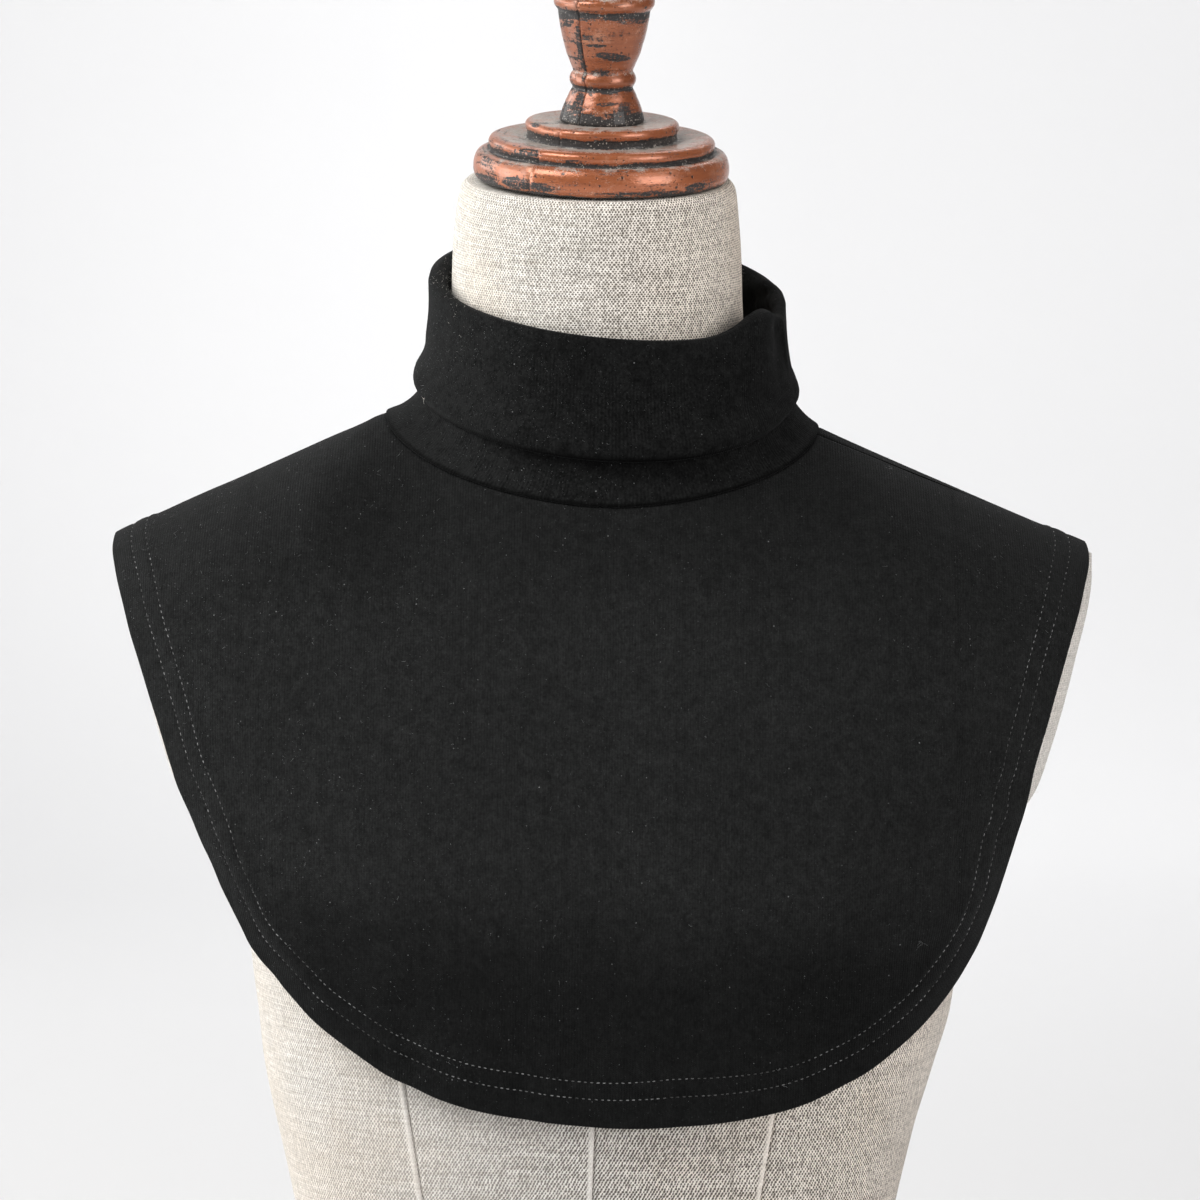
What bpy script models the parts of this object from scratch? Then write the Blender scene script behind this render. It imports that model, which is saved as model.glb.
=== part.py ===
"""Knitted turtleneck collar (a bib-fronted dickey) worn by a limbless linen dress form.

Metres, +Z up, front towards -Y.  The origin is the middle of the form's flat underside.
The cloth is three sewn pieces: a front bib, a back bib and one strip that stands up at the
neckline, rolls over and turns down again.  Form and cloth share one rule for the shape of a
shoulder: at each x, the surface starts level at the shoulder line, rolls over a quarter
ellipse and runs on down the chest or the back.
"""

import math

import bmesh
import bpy
from mathutils import Matrix, Vector

# ---------------------------------------------------------------- driving sizes

MM = 0.001

CLOTH_WALL = 1.3 * MM          # one thickness of heavy cotton jersey with its nap
HEM_WALL = 2.5 * MM            # the hem is turned up and lies double
HEM_BAND = 18 * MM             # how far the turned-up edge reaches in from the hem
COLLAR_WALL = 1.9 * MM         # the collar strip is sewn double all the way
SEAM_GAP = 0.35 * MM           # between two pieces where the real ones are stitched together
SEAT_GAP = 0.6 * MM            # between the cloth and the form that carries it

RIDGE_Y = 6 * MM               # the shoulder line lies in this plane
RIDGE_ROLL = 45 * MM           # height of the quarter ellipse that rounds the shoulder over
NECK_ROLL = (65 * MM, 22 * MM)  # what is added to that height beside the neck: front, back
NECK_ROLL_X = (115 * MM, 45 * MM)  # where the addition begins, and over what width
WRAP = 80 * MM                 # how soon distance over the shoulder turns into drop
SECTION_POWER = 2.7            # squareness of the level sections of chest and back

TIP_X = 196 * MM               # shoulder point of the bibs
TIP_Z = 411.6 * MM             # height of the shoulder line there
SHOULDER_SLOPE = 0.439         # rise of the shoulder line towards the neck
SHOULDER_SKEW = 0.041          # the line towards -X is this much steeper
TIP_DROOP = 0.8 * MM           # the line rounds down over its last stretch
TIP_STRETCH = 26 * MM
FILLET_X = 90 * MM             # inside this, the shoulder line curves up into the neck
FILLET_RATE = 6.0

NECKLINE_HALF = 86.4 * MM      # half width of the neck opening
NECKLINE_SHIFT = 1.2 * MM
NECKLINE_SWING = 5 * MM        # its lowest point hangs off to one side
NECKLINE_FRONT_Z = 428 * MM
NECKLINE_BACK_Z = 479 * MM
NECKLINE_POWER = 1.8
NECKLINE_BACK_RISE = 4.0       # it climbs late, towards the middle of the back

SEAM_AT_NECK = (8 * MM, -4 * MM)   # shoulder seams, forward of the ridge: right, left
SEAM_AT_TIP = (3 * MM, -2 * MM)
HEM_SWING = 15 * MM            # the bib hangs off to one side at the bottom of its hem
HEM_SWING_POWER = 2.2

# Outline of each bib from its shoulder point down to the lowest point of the hem.
HEM_COLUMNS = ("half_width", "height")
FRONT_HEM = (
    (0.1922, 0.4060),
    (0.1872, 0.3910),
    (0.1770, 0.3600),
    (0.1620, 0.3140),
    (0.1430, 0.2690),
    (0.1346, 0.2535),
    (0.1232, 0.2392),
    (0.1086, 0.2250),
    (0.0870, 0.2103),
    (0.0540, 0.1990),
    (0.0000, 0.1938),
)
BACK_HEM = (
    (0.1915, 0.4060),
    (0.1840, 0.3850),
    (0.1720, 0.3560),
    (0.1540, 0.3180),
    (0.1290, 0.2790),
    (0.0960, 0.2490),
    (0.0540, 0.2370),
    (0.0000, 0.2340),
)

# Level sections of the hanging cloth, measured from the plane of the shoulder line.
CLOTH_COLUMNS = ("height", "half_width", "front", "back")
CLOTH_SECTIONS = (
    (0.190, 0.1390, 0.1095, 0.0780),
    (0.220, 0.1420, 0.1122, 0.0825),
    (0.250, 0.1540, 0.1138, 0.0865),
    (0.275, 0.1680, 0.1140, 0.0885),
    (0.310, 0.1860, 0.1093, 0.0902),
    (0.350, 0.2010, 0.0993, 0.0893),
    (0.390, 0.2060, 0.0862, 0.0836),
    (0.410, 0.2072, 0.0788, 0.0794),
    (0.428, 0.2080, 0.0708, 0.0745),
    (0.442, 0.2090, 0.0648, 0.0703),
    (0.455, 0.2090, 0.0604, 0.0668),
    (0.468, 0.2090, 0.0606, 0.0632),
    (0.480, 0.2100, 0.0608, 0.0592),
)

# Level sections of the form, on the same plane, from the underside up.
FORM_COLUMNS = ("height", "half_width", "front", "back", "shift")
FORM_SECTIONS = (
    (0.000, 0.1320, 0.0930, 0.0860, 0.0000),
    (0.020, 0.1275, 0.0905, 0.0815, 0.0000),
    (0.045, 0.1195, 0.0860, 0.0720, 0.0000),
    (0.070, 0.1145, 0.0825, 0.0655, 0.0000),
    (0.095, 0.1130, 0.0820, 0.0625, 0.0000),
    (0.120, 0.1145, 0.0845, 0.0630, 0.0000),
    (0.152, 0.1212, 0.0930, 0.0665, 0.0000),
    (0.180, 0.1275, 0.1010, 0.0710, 0.0000),
    (0.205, 0.1338, 0.1065, 0.0748, 0.0010),
    (0.230, 0.1388, 0.1105, 0.0785, 0.0030),
    (0.255, 0.1420, 0.1118, 0.0820, 0.0030),
    (0.275, 0.1440, 0.1120, 0.0845, 0.0030),
    (0.290, 0.1480, 0.1105, 0.0862, 0.0030),
    (0.300, 0.1570, 0.1090, 0.0870, 0.0030),
    (0.308, 0.1680, 0.1078, 0.0876, 0.0030),
    (0.316, 0.1745, 0.1060, 0.0878, 0.0030),
    (0.330, 0.1795, 0.1030, 0.0880, 0.0030),
    (0.350, 0.1855, 0.0974, 0.0878, 0.0030),
    (0.370, 0.1895, 0.0914, 0.0860, 0.0030),
    (0.390, 0.1920, 0.0842, 0.0817, 0.0030),
    (0.400, 0.1925, 0.0796, 0.0788, 0.0030),
    (0.428, 0.1930, 0.0666, 0.0725, 0.0030),
    (0.442, 0.1930, 0.0610, 0.0683, 0.0030),
    (0.455, 0.1935, 0.0586, 0.0648, 0.0030),
    (0.468, 0.1940, 0.0590, 0.0612, 0.0030),
)
FORM_TOP_Z = 468 * MM
FORM_LEVELS = (
    0.000, 0.022, 0.045, 0.070, 0.095, 0.120, 0.148, 0.175, 0.200, 0.225, 0.250, 0.272, 0.287,
    0.297, 0.305, 0.312, 0.325, 0.345, 0.365, 0.383, 0.396, 0.405, 0.411, 0.418, 0.426, 0.434,
    0.442, 0.449, 0.4545, 0.459, 0.4635, FORM_TOP_Z,
)

# Neck of the form: rings that lean forward more and more towards the cap.
NECK_COLUMNS = ("x", "y", "height", "half_width", "half_depth", "lean_degrees")
NECK_RINGS = (
    (0.0000, 0.0058, 0.4684, 0.0600, 0.0570, 0.0),
    (-0.0014, 0.0036, 0.4880, 0.0586, 0.0578, 3.0),
    (-0.0022, 0.0010, 0.5080, 0.0580, 0.0577, 6.0),
    (-0.0024, -0.0020, 0.5280, 0.0574, 0.0570, 8.5),
    (-0.0024, -0.0055, 0.5440, 0.0560, 0.0560, 10.5),
    (-0.0022, -0.0078, 0.5530, 0.0546, 0.0546, 11.3),
    (-0.0020, -0.0086, 0.5562, 0.0522, 0.0521, 11.3),
)

# Collar strip, middle of its wall, as tilted rings: the stand on the way up to the roll,
# then the flap on the way down.  The lean is how fast a ring falls towards +X.
COLLAR_COLUMNS = ("half_width", "front_y", "back_y", "front_z", "side_z", "back_z", "lean")
STAND_RINGS = (
    (0.0706, -0.0620, 0.0668, 0.4520, 0.4800, 0.4975, 0.045),
    (0.0688, -0.0600, 0.0664, 0.4720, 0.4970, 0.5170, 0.060),
    (0.0676, -0.0580, 0.0662, 0.4916, 0.5117, 0.5355, 0.075),
)
FLAP_RINGS = (
    (0.0706, -0.0610, 0.0692, 0.4916, 0.5117, 0.5355, 0.075),
    (0.0713, -0.0624, 0.0702, 0.4740, 0.4985, 0.5190, 0.068),
    (0.0730, -0.0646, 0.0718, 0.4610, 0.4868, 0.5055, 0.056),
    (0.0752, -0.0672, 0.0738, 0.4535, 0.4778, 0.4965, 0.047),
    (0.0758, -0.0680, 0.0744, 0.4495, 0.4740, 0.4925, 0.045),
    (0.0750, -0.0674, 0.0738, 0.4470, 0.4710, 0.4895, 0.045),
)
COLLAR_SHIFT = 1.7 * MM
ROLL_TURNS = (30, 60, 90, 120, 150)    # degrees round the roll between stand and flap
FOOT_STEPS = (0.22, 0.50, 0.78)        # rings between the seamed foot and the stand
FOOT_BEND = (0.22, 0.34)       # their bend: share of the foot's reach, share of the rise
FOOT_LIFT = 0.6 * MM           # the strip's foot rides this far above the form's skin
FOOT_PROBE = 4 * MM            # step that feels which way the bib runs from the neckline

# Turned cap on the neck and the finial on it, as radius against height along their axis.
CAP_SEAT = Vector((-1.1 * MM, -8.6 * MM, 556.7 * MM))
CAP_LEAN = math.radians(11.3)
CAP_ROLL = math.radians(0.7)
TURNING_GAP = 0.4 * MM         # under each turned piece
CAP_PROFILE = (
    (0.0000, 0.0000), (0.0490, 0.0000), (0.0503, 0.0018), (0.0507, 0.0050), (0.0503, 0.0080),
    (0.0488, 0.0102), (0.0462, 0.0110), (0.0446, 0.0116), (0.0449, 0.0142), (0.0441, 0.0165),
    (0.0420, 0.0178), (0.0288, 0.0184), (0.0284, 0.0200), (0.0302, 0.0212), (0.0304, 0.0228),
    (0.0293, 0.0241), (0.0150, 0.0246), (0.0000, 0.0246),
)
FINIAL_FOOT = 24.9 * MM        # along the cap's axis, just clear of its top
FINIAL_PROFILE = (
    (0.0000, 0.0000), (0.0166, 0.0000), (0.0157, 0.0045), (0.0138, 0.0100), (0.0119, 0.0133),
    (0.0124, 0.0137), (0.0131, 0.0152), (0.0131, 0.0172), (0.0124, 0.0187), (0.0118, 0.0200),
    (0.0131, 0.0245), (0.0152, 0.0320), (0.0168, 0.0400), (0.0174, 0.0428), (0.0172, 0.0440),
    (0.0192, 0.0450), (0.0199, 0.0468), (0.0196, 0.0486), (0.0180, 0.0500), (0.0120, 0.0520),
    (0.0098, 0.0545), (0.0108, 0.0590), (0.0136, 0.0630), (0.0146, 0.0680), (0.0133, 0.0735),
    (0.0094, 0.0780), (0.0000, 0.0800),
)

FRONT_COLUMNS = 44             # facets along the hem of the front bib
BACK_COLUMNS = 36
BIB_ROWS = 11                  # rows between the neckline and the hem band
FORM_SEGMENTS = 56
NECK_SEGMENTS = 44
COLLAR_SEGMENTS = 48
CAP_SEGMENTS = 40
FINIAL_SEGMENTS = 24
CURVE_SAMPLES = 360            # points taken on a curve before it is divided evenly
HEM_STEP = 1.2 * MM            # over this run the wall goes from single to double cloth
TIP_FACETS = 0.45              # length of a hem facet at the shoulder points, against the mean
SEAM_SHARE = 0.6               # share of the seam gap that each bib gives up at the shoulders
SHARP_DEGREES = 50             # edges of the form and the turnings sharper than this stay crisp


# ---------------------------------------------------------------- tables and curves

def look_up(rows, columns, name, at):
    """A column of a table whose first column rises, read by a monotone cubic."""
    values = columns.index(name)
    last = len(rows) - 1
    if at <= rows[0][0]:
        return rows[0][values]
    if at >= rows[last][0]:
        return rows[last][values]
    i = next(k for k in range(last) if at <= rows[k + 1][0])

    def slope(k):
        """Slope at row k: zero at a peak, otherwise the harmonic mean of its two sides."""
        sides = [
            (rows[m + 1][values] - rows[m][values]) / (rows[m + 1][0] - rows[m][0])
            for m in (k - 1, k) if 0 <= m < last
        ]
        if len(sides) == 1:
            return sides[0]
        product = sides[0] * sides[1]
        return 2.0 * product / (sides[0] + sides[1]) if product > 0.0 else 0.0

    span = rows[i + 1][0] - rows[i][0]
    t = (at - rows[i][0]) / span
    return (
        (1 + 2 * t) * (1 - t) ** 2 * rows[i][values]
        + t * (1 - t) ** 2 * span * slope(i)
        + t * t * (3 - 2 * t) * rows[i + 1][values]
        - t * t * (1 - t) * span * slope(i + 1)
    )


def smooth_path(points, samples):
    """A centripetal-like Catmull-Rom curve through 2-D or 3-D points."""
    points = [Vector(p) for p in points]
    padded = [2 * points[0] - points[1]] + points + [2 * points[-1] - points[-2]]
    spans = len(points) - 1
    path = []
    for k in range(samples + 1):
        place = min(k * spans / samples, spans - 1e-9)
        i = int(place)
        t = place - i
        a, b, c, d = padded[i:i + 4]
        path.append(
            0.5 * (2 * b + (c - a) * t + (2 * a - 5 * b + 4 * c - d) * t * t
                   + (3 * b - a - 3 * c + d) * t ** 3)
        )
    return path


def divide_evenly(path, lift, pieces, ends=1.0):
    """Split a path into pieces of equal length, measured on the points that lift gives.

    With ends under 1, the first and last pieces are shorter by about that factor.
    """
    places = [lift(p) for p in path]
    run = [0.0]
    for a, b in zip(places, places[1:]):
        run.append(run[-1] + (b - a).length)
    divided = []
    i = 0
    for k in range(pieces + 1):
        share = k / pieces
        share -= (1.0 - ends) * math.sin(2 * math.pi * share) / (2 * math.pi)
        target = share * run[-1]
        while i < len(run) - 2 and run[i + 1] < target:
            i += 1
        t = (target - run[i]) / max(run[i + 1] - run[i], 1e-12)
        divided.append(path[i].lerp(path[i + 1], min(max(t, 0.0), 1.0)))
    return divided


# ---------------------------------------------------------------- the shape of the shoulders

def shoulder_height(x):
    """Height of the shoulder line, on the inner side of the cloth."""
    inside = max(0.0, FILLET_X - abs(x))
    beyond = max(0.0, abs(x) - TIP_X + TIP_STRETCH) / TIP_STRETCH
    return (
        TIP_Z + SHOULDER_SLOPE * (TIP_X - abs(x)) - SHOULDER_SKEW * x * (1 - abs(x) / TIP_X)
        + FILLET_RATE * inside * inside - TIP_DROOP * beyond * beyond
    )


def roll_over(x, drop, side):
    """Share of the full depth that is reached at this drop below the shoulder line."""
    near = min(max((NECK_ROLL_X[0] - abs(x)) / NECK_ROLL_X[1], 0.0), 1.0)
    added = NECK_ROLL[0] if side == "front" else NECK_ROLL[1]
    height = RIDGE_ROLL + added * near * near * (3 - 2 * near)
    t = min(max(drop / height, 0.0), 1.0)
    return math.sqrt(1.0 - (1.0 - t) ** 2)


def across(x, half_width):
    """Share of the middle depth that a level section has at x."""
    return max(0.0, 1.0 - min(abs(x) / half_width, 1.0) ** SECTION_POWER) ** (1 / SECTION_POWER)


def wrap_of(drop):
    """Distance over the shoulder at which the surface has dropped this far."""
    return math.sqrt(max(0.0, (drop + WRAP) ** 2 - WRAP * WRAP))


def drop_of(wrap):
    return math.sqrt(wrap * wrap + WRAP * WRAP) - WRAP


def cloth_point(place):
    """Inner side of the cloth at (x, wrap); wrap is positive in front, negative behind."""
    x, wrap = place
    drop = drop_of(wrap)
    height = shoulder_height(x) - drop
    side = "front" if wrap > 0.0 else "back"
    depth = look_up(CLOTH_SECTIONS, CLOTH_COLUMNS, side, height)
    half_width = look_up(CLOTH_SECTIONS, CLOTH_COLUMNS, "half_width", height)
    reach = depth * across(x, half_width) * roll_over(x, drop, side)
    return Vector((x, RIDGE_Y + (-reach if wrap > 0.0 else reach), height))


def cloth_place(x, height, side):
    """The (x, wrap) of the cloth at this x and height; side is 1 in front, -1 behind."""
    return Vector((x, side * wrap_of(shoulder_height(x) - height)))


# ---------------------------------------------------------------- neckline and hems

def neckline():
    """The closed neckline as (x, wrap), from the right end of the ridge round the front."""
    ring = []
    for k in range(CURVE_SAMPLES):
        angle = 2 * math.pi * k / CURVE_SAMPLES
        c = math.cos(angle)
        s = math.sin(angle)
        side = 1.0 if s >= 0.0 else -1.0
        x = NECKLINE_HALF * math.copysign(abs(c) ** (2 / NECKLINE_POWER), c)
        end_z = shoulder_height(NECKLINE_SHIFT + math.copysign(NECKLINE_HALF, c))
        middle_z = NECKLINE_FRONT_Z if side > 0 else NECKLINE_BACK_Z
        share = abs(s) ** (2 / NECKLINE_POWER if side > 0 else NECKLINE_BACK_RISE)
        middle = 0.5 * (shoulder_height(NECKLINE_HALF) + shoulder_height(-NECKLINE_HALF))
        end_z = middle + (end_z - middle) * abs(c)
        x += NECKLINE_SHIFT + (NECKLINE_SWING * s * s if side > 0 else 0.0)
        height = min(end_z + (middle_z - end_z) * share, shoulder_height(x))
        ring.append(cloth_place(x, height, side))
    return ring


def neckline_parts():
    """The neckline cut at the shoulder seams: front from right to left, back likewise."""
    ring = neckline()
    half = CURVE_SAMPLES // 2

    def cut(start, offset):
        """Index of the ring point that lies offset further round than the ridge."""
        step = 1 if offset > 0 else -1
        run = 0.0
        k = start
        while run < abs(offset):
            after = (k + step) % CURVE_SAMPLES
            run += (cloth_point(ring[after]) - cloth_point(ring[k % CURVE_SAMPLES])).length
            k += step
        return k

    right = cut(0, SEAM_AT_NECK[0])
    left = cut(half, -SEAM_AT_NECK[1])
    front = [ring[k] for k in range(right, left + 1)]
    back = [ring[k % CURVE_SAMPLES] for k in range(CURVE_SAMPLES + right, left - 1, -1)]
    return front, back


def hem_path(rows, side):
    """The hem as (x, wrap), from the right shoulder point round the bottom to the left."""
    low = rows[-1][HEM_COLUMNS.index("height")]

    def outline(half_width, height, turn):
        fall = (TIP_Z - height) / (TIP_Z - low)
        swing = HEM_SWING * fall ** HEM_SWING_POWER if side > 0 else 0.0
        return Vector((turn * half_width + swing, height))

    def tip(turn, wrap):
        x = turn * (TIP_X - 3 * MM)
        return Vector((x, shoulder_height(x) - drop_of(wrap)))

    right = [outline(w, h, 1.0) for w, h in rows]
    left = [outline(w, h, -1.0) for w, h in rows[-2::-1]]
    ends = tip(1, SEAM_AT_TIP[0]), tip(-1, SEAM_AT_TIP[1])
    path = [
        cloth_place(x, min(height, shoulder_height(x)), side)
        for x, height in smooth_path([ends[0]] + right + left + [ends[1]], CURVE_SAMPLES)
    ]
    path[0] = Vector((path[0].x, SEAM_AT_TIP[0]))
    path[-1] = Vector((path[-1].x, SEAM_AT_TIP[1]))
    return path


# ---------------------------------------------------------------- Blender helpers

def clear_scene():
    for item in list(bpy.data.objects):
        bpy.data.objects.remove(item, do_unlink=True)


def material(name, colour, roughness, metallic=0.0):
    made = bpy.data.materials.new(name)
    made.use_nodes = True
    shader = made.node_tree.nodes["Principled BSDF"]
    shader.inputs["Base Color"].default_value = (*colour, 1.0)
    shader.inputs["Roughness"].default_value = roughness
    shader.inputs["Metallic"].default_value = metallic
    return made


def add_object(name, mesh_maker, finish, sharp_degrees=None):
    """Put the bmesh that mesh_maker fills into a named, shaded object."""
    mesh = bpy.data.meshes.new(name)
    shape = bmesh.new()
    mesh_maker(shape)
    if sharp_degrees is not None:
        bmesh.ops.recalc_face_normals(shape, faces=shape.faces)
    shape.to_mesh(mesh)
    shape.free()
    mesh.materials.append(finish)
    mesh.shade_smooth()
    if sharp_degrees is not None:
        mesh.set_sharp_from_angle(angle=math.radians(sharp_degrees))
    placed = bpy.data.objects.new(name, mesh)
    bpy.context.scene.collection.objects.link(placed)
    return placed


def loft(shape, rings, closed_ends=True):
    """Skin rings of points, each a closed loop; the end loops may be filled."""
    loops = [[shape.verts.new(p) for p in ring] for ring in rings]
    for low, high in zip(loops, loops[1:]):
        count = len(low)
        for k in range(count):
            after = (k + 1) % count
            shape.faces.new((low[k], low[after], high[after], high[k]))
    if closed_ends:
        shape.faces.new(list(reversed(loops[0])))
        shape.faces.new(loops[-1])
    return loops


def thicken(placed, wall, offset, thin_share=None):
    """A wall on an open sheet; where the vertex group is 0, only thin_share of it."""
    solidify = placed.modifiers.new("wall", "SOLIDIFY")
    solidify.thickness = wall
    solidify.offset = offset
    solidify.use_even_offset = True
    solidify.use_quality_normals = True
    if thin_share is not None:
        solidify.vertex_group = "hem"
        solidify.thickness_vertex_group = thin_share


# ---------------------------------------------------------------- the bibs

def ray_shares(length):
    """Rows of a bib from neckline (0) to hem (1): even, then close together at the hem."""
    band = HEM_BAND / length
    inner = 1.0 - band - HEM_STEP / length
    return [inner * k / BIB_ROWS for k in range(BIB_ROWS + 1)] + [1.0 - band, 1.0 - band / 2, 1.0]


def make_bib(name, neck_path, hem, columns, side, finish):
    """A bib between neckline and hem, divided along rays that run from one to the other."""
    starts = divide_evenly(neck_path, cloth_point, columns)
    ends = divide_evenly(hem, cloth_point, columns, ends=TIP_FACETS)
    seam_shift = Vector((0.0, side * SEAM_SHARE * SEAM_GAP))

    def weave(sheet):
        """Fill the sheet, with weight 1 where the hem lies double."""
        weight = sheet.verts.layers.deform.verify()
        grid = []
        for start, end in zip(starts, ends):
            shares = ray_shares((cloth_point(end) - cloth_point(start)).length)
            row = []
            for k, share in enumerate(shares):
                vert = sheet.verts.new(cloth_point(start.lerp(end, share) + seam_shift))
                vert[weight][0] = 1.0 if k > BIB_ROWS else 0.0
                row.append(vert)
            grid.append(row)
        for left, right in zip(grid, grid[1:]):
            for k in range(len(left) - 1):
                corners = (left[k], left[k + 1], right[k + 1], right[k])
                sheet.faces.new(corners if side < 0 else corners[::-1])

    placed = add_object(name, weave, finish)
    placed.vertex_groups.new(name="hem")
    thicken(placed, HEM_WALL, 1.0, CLOTH_WALL / HEM_WALL)
    return placed


# ---------------------------------------------------------------- the collar strip

def collar_ring(row):
    """One tilted ring of the collar, from the right side round the front."""
    size = dict(zip(COLLAR_COLUMNS, row))
    middle_y = 0.5 * (size["front_y"] + size["back_y"])
    reach = 0.5 * (size["back_y"] - size["front_y"])
    slant = 0.5 * (size["front_z"] - size["back_z"])
    dip = 0.5 * (size["front_z"] + size["back_z"]) - size["side_z"]
    ring = []
    for k in range(COLLAR_SEGMENTS):
        angle = 2 * math.pi * k / COLLAR_SEGMENTS
        s = math.sin(angle)
        x = COLLAR_SHIFT + size["half_width"] * math.cos(angle)
        height = size["side_z"] + slant * s + dip * s * s - size["lean"] * x
        ring.append(Vector((x, middle_y - reach * s, height)))
    return ring


def collar_foot(first_ring):
    """Lowest ring of the stand: beside the neckline edge of the bibs, clear of the form."""
    ring = neckline()
    ring.append(ring[0])
    count = COLLAR_SEGMENTS // 2
    half = CURVE_SAMPLES // 2
    front = divide_evenly(ring[:half + 1], cloth_point, count)
    back = divide_evenly(ring[half:], cloth_point, count)
    places = front[:-1] + back[:-1]
    points = [cloth_point(p) for p in places]
    foot = []
    for k, point in enumerate(points):
        onward = points[(k + 1) % len(points)] - points[k - 1]
        outward = Vector((point.x - COLLAR_SHIFT, point.y - RIDGE_Y, 0.0)).normalized()
        place = places[k]
        further = cloth_point(place + Vector((outward.x, -outward.y)) * FOOT_PROBE)
        down = (further - point).normalized()
        face = onward.cross(down).normalized()
        face = face if face.dot(outward) + face.z > 0.0 else -face
        rise = (first_ring[k] - point).normalized()
        wall = onward.cross(rise).normalized()
        wall = wall if wall.dot(outward) > 0.0 else -wall
        inset = SEAM_GAP + 0.5 * COLLAR_WALL * max(0.0, wall.dot(down))
        lift = 0.5 * COLLAR_WALL * wall.dot(face) + FOOT_LIFT
        foot.append(point - down * inset + face * lift)
    return foot


def make_collar(finish):
    stand = [collar_ring(row) for row in STAND_RINGS]
    flap = [collar_ring(row) for row in FLAP_RINGS]
    foot = collar_foot(stand[0])
    rings = [foot]
    for t in FOOT_STEPS:
        ring = []
        for low, high in zip(foot, stand[0]):
            bend = high.lerp(low, FOOT_BEND[0])
            bend.z = low.z + FOOT_BEND[1] * (high.z - low.z)
            ring.append((1 - t) ** 2 * low + 2 * t * (1 - t) * bend + t * t * high)
        rings.append(ring)
    rings += stand
    for turn in ROLL_TURNS:
        angle = math.radians(turn)
        ring = []
        for inner, outer in zip(stand[-1], flap[0]):
            middle = (inner + outer) / 2
            radius = (outer - inner).length / 2
            ring.append(middle - (outer - inner) / 2 * math.cos(angle)
                        + Vector((0.0, 0.0, radius * math.sin(angle))))
        rings.append(ring)
    rings += flap
    placed = add_object("collar", lambda shape: loft(shape, rings, False), finish)
    thicken(placed, COLLAR_WALL, 0.0)
    return placed


# ---------------------------------------------------------------- the dress form

def form_ring(height):
    """One level section of the form, from the right end round the front."""
    front, back, half_width, shift = (
        look_up(FORM_SECTIONS, FORM_COLUMNS, name, height)
        for name in ("front", "back", "half_width", "shift")
    )

    def ridge_end(side):
        """Where the form's own shoulder line comes down to this height."""
        near, far = 0.0, 0.25
        for _ in range(40):
            middle = 0.5 * (near + far)
            above = shoulder_height(side * middle) - SEAT_GAP > height
            near, far = (middle, far) if above else (near, middle)
        return near

    right = min(shift + half_width, ridge_end(1))
    left = min(half_width - shift, ridge_end(-1))
    ring = []
    for k in range(FORM_SEGMENTS):
        angle = 2 * math.pi * k / FORM_SEGMENTS
        c = math.cos(angle)
        s = math.sin(angle)
        size = (abs(c) ** SECTION_POWER + abs(s) ** SECTION_POWER) ** (1 / SECTION_POWER)
        x = 0.5 * (right - left) + 0.5 * (right + left) * c / size
        side, depth = ("front", front) if s >= 0.0 else ("back", back)
        drop = shoulder_height(x) - SEAT_GAP - height
        reach = depth * across(x - shift, half_width) * roll_over(x, drop, side)
        ring.append(Vector((x, RIDGE_Y + (-reach if s >= 0.0 else reach), height)))
    return ring


def make_torso(finish):
    rings = [form_ring(height) for height in FORM_LEVELS]
    return add_object("form_torso", lambda shape: loft(shape, rings), finish, SHARP_DEGREES)


def make_neck(finish):
    rings = []
    for row in NECK_RINGS:
        size = dict(zip(NECK_COLUMNS, row))
        tilt = Matrix.Rotation(math.radians(size["lean_degrees"]), 3, "X")
        centre = Vector((size["x"], size["y"], size["height"]))
        ring = []
        for k in range(NECK_SEGMENTS):
            angle = 2 * math.pi * k / NECK_SEGMENTS
            across_x = size["half_width"] * math.cos(angle)
            across_y = -size["half_depth"] * math.sin(angle)
            ring.append(centre + tilt @ Vector((across_x, across_y, 0.0)))
        rings.append(ring)
    return add_object("form_neck", lambda shape: loft(shape, rings), finish, SHARP_DEGREES)


def make_turning(name, profile, foot, segments, finish):
    """A turned piece on the leaning axis of the cap, foot metres along it from the seat."""
    def turn(shape):
        chain = [shape.verts.new((radius, 0.0, height)) for radius, height in profile]
        edges = [shape.edges.new(pair) for pair in zip(chain, chain[1:])]
        bmesh.ops.spin(
            shape, geom=chain + edges, axis=(0.0, 0.0, 1.0), cent=(0.0, 0.0, 0.0),
            angle=2 * math.pi, steps=segments, use_merge=True,
        )
        bmesh.ops.remove_doubles(shape, verts=shape.verts, dist=0.01 * MM)

    placed = add_object(name, turn, finish, SHARP_DEGREES)
    lean = Matrix.Rotation(CAP_ROLL, 3, "Y") @ Matrix.Rotation(CAP_LEAN, 3, "X")
    placed.location = CAP_SEAT + lean @ Vector((0.0, 0.0, foot))
    placed.rotation_euler = lean.to_euler()
    return placed


# ---------------------------------------------------------------- assembly

def build():
    clear_scene()
    jersey = material("black_jersey", (0.012, 0.013, 0.013), 0.92)
    linen = material("natural_linen", (0.62, 0.58, 0.50), 0.90)
    wood = material("copper_brown_wood", (0.36, 0.11, 0.045), 0.38)

    front_neck, back_neck = neckline_parts()
    front_hem = hem_path(FRONT_HEM, 1)
    back_hem = hem_path(BACK_HEM, -1)
    make_bib("front_bib", front_neck, front_hem, FRONT_COLUMNS, 1, jersey)
    make_bib("back_bib", back_neck, back_hem, BACK_COLUMNS, -1, jersey)
    make_collar(jersey)
    make_torso(linen)
    make_neck(linen)
    make_turning("neck_cap", CAP_PROFILE, TURNING_GAP, CAP_SEGMENTS, wood)
    make_turning("finial", FINIAL_PROFILE, FINIAL_FOOT + TURNING_GAP, FINIAL_SEGMENTS, wood)


build()
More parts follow.
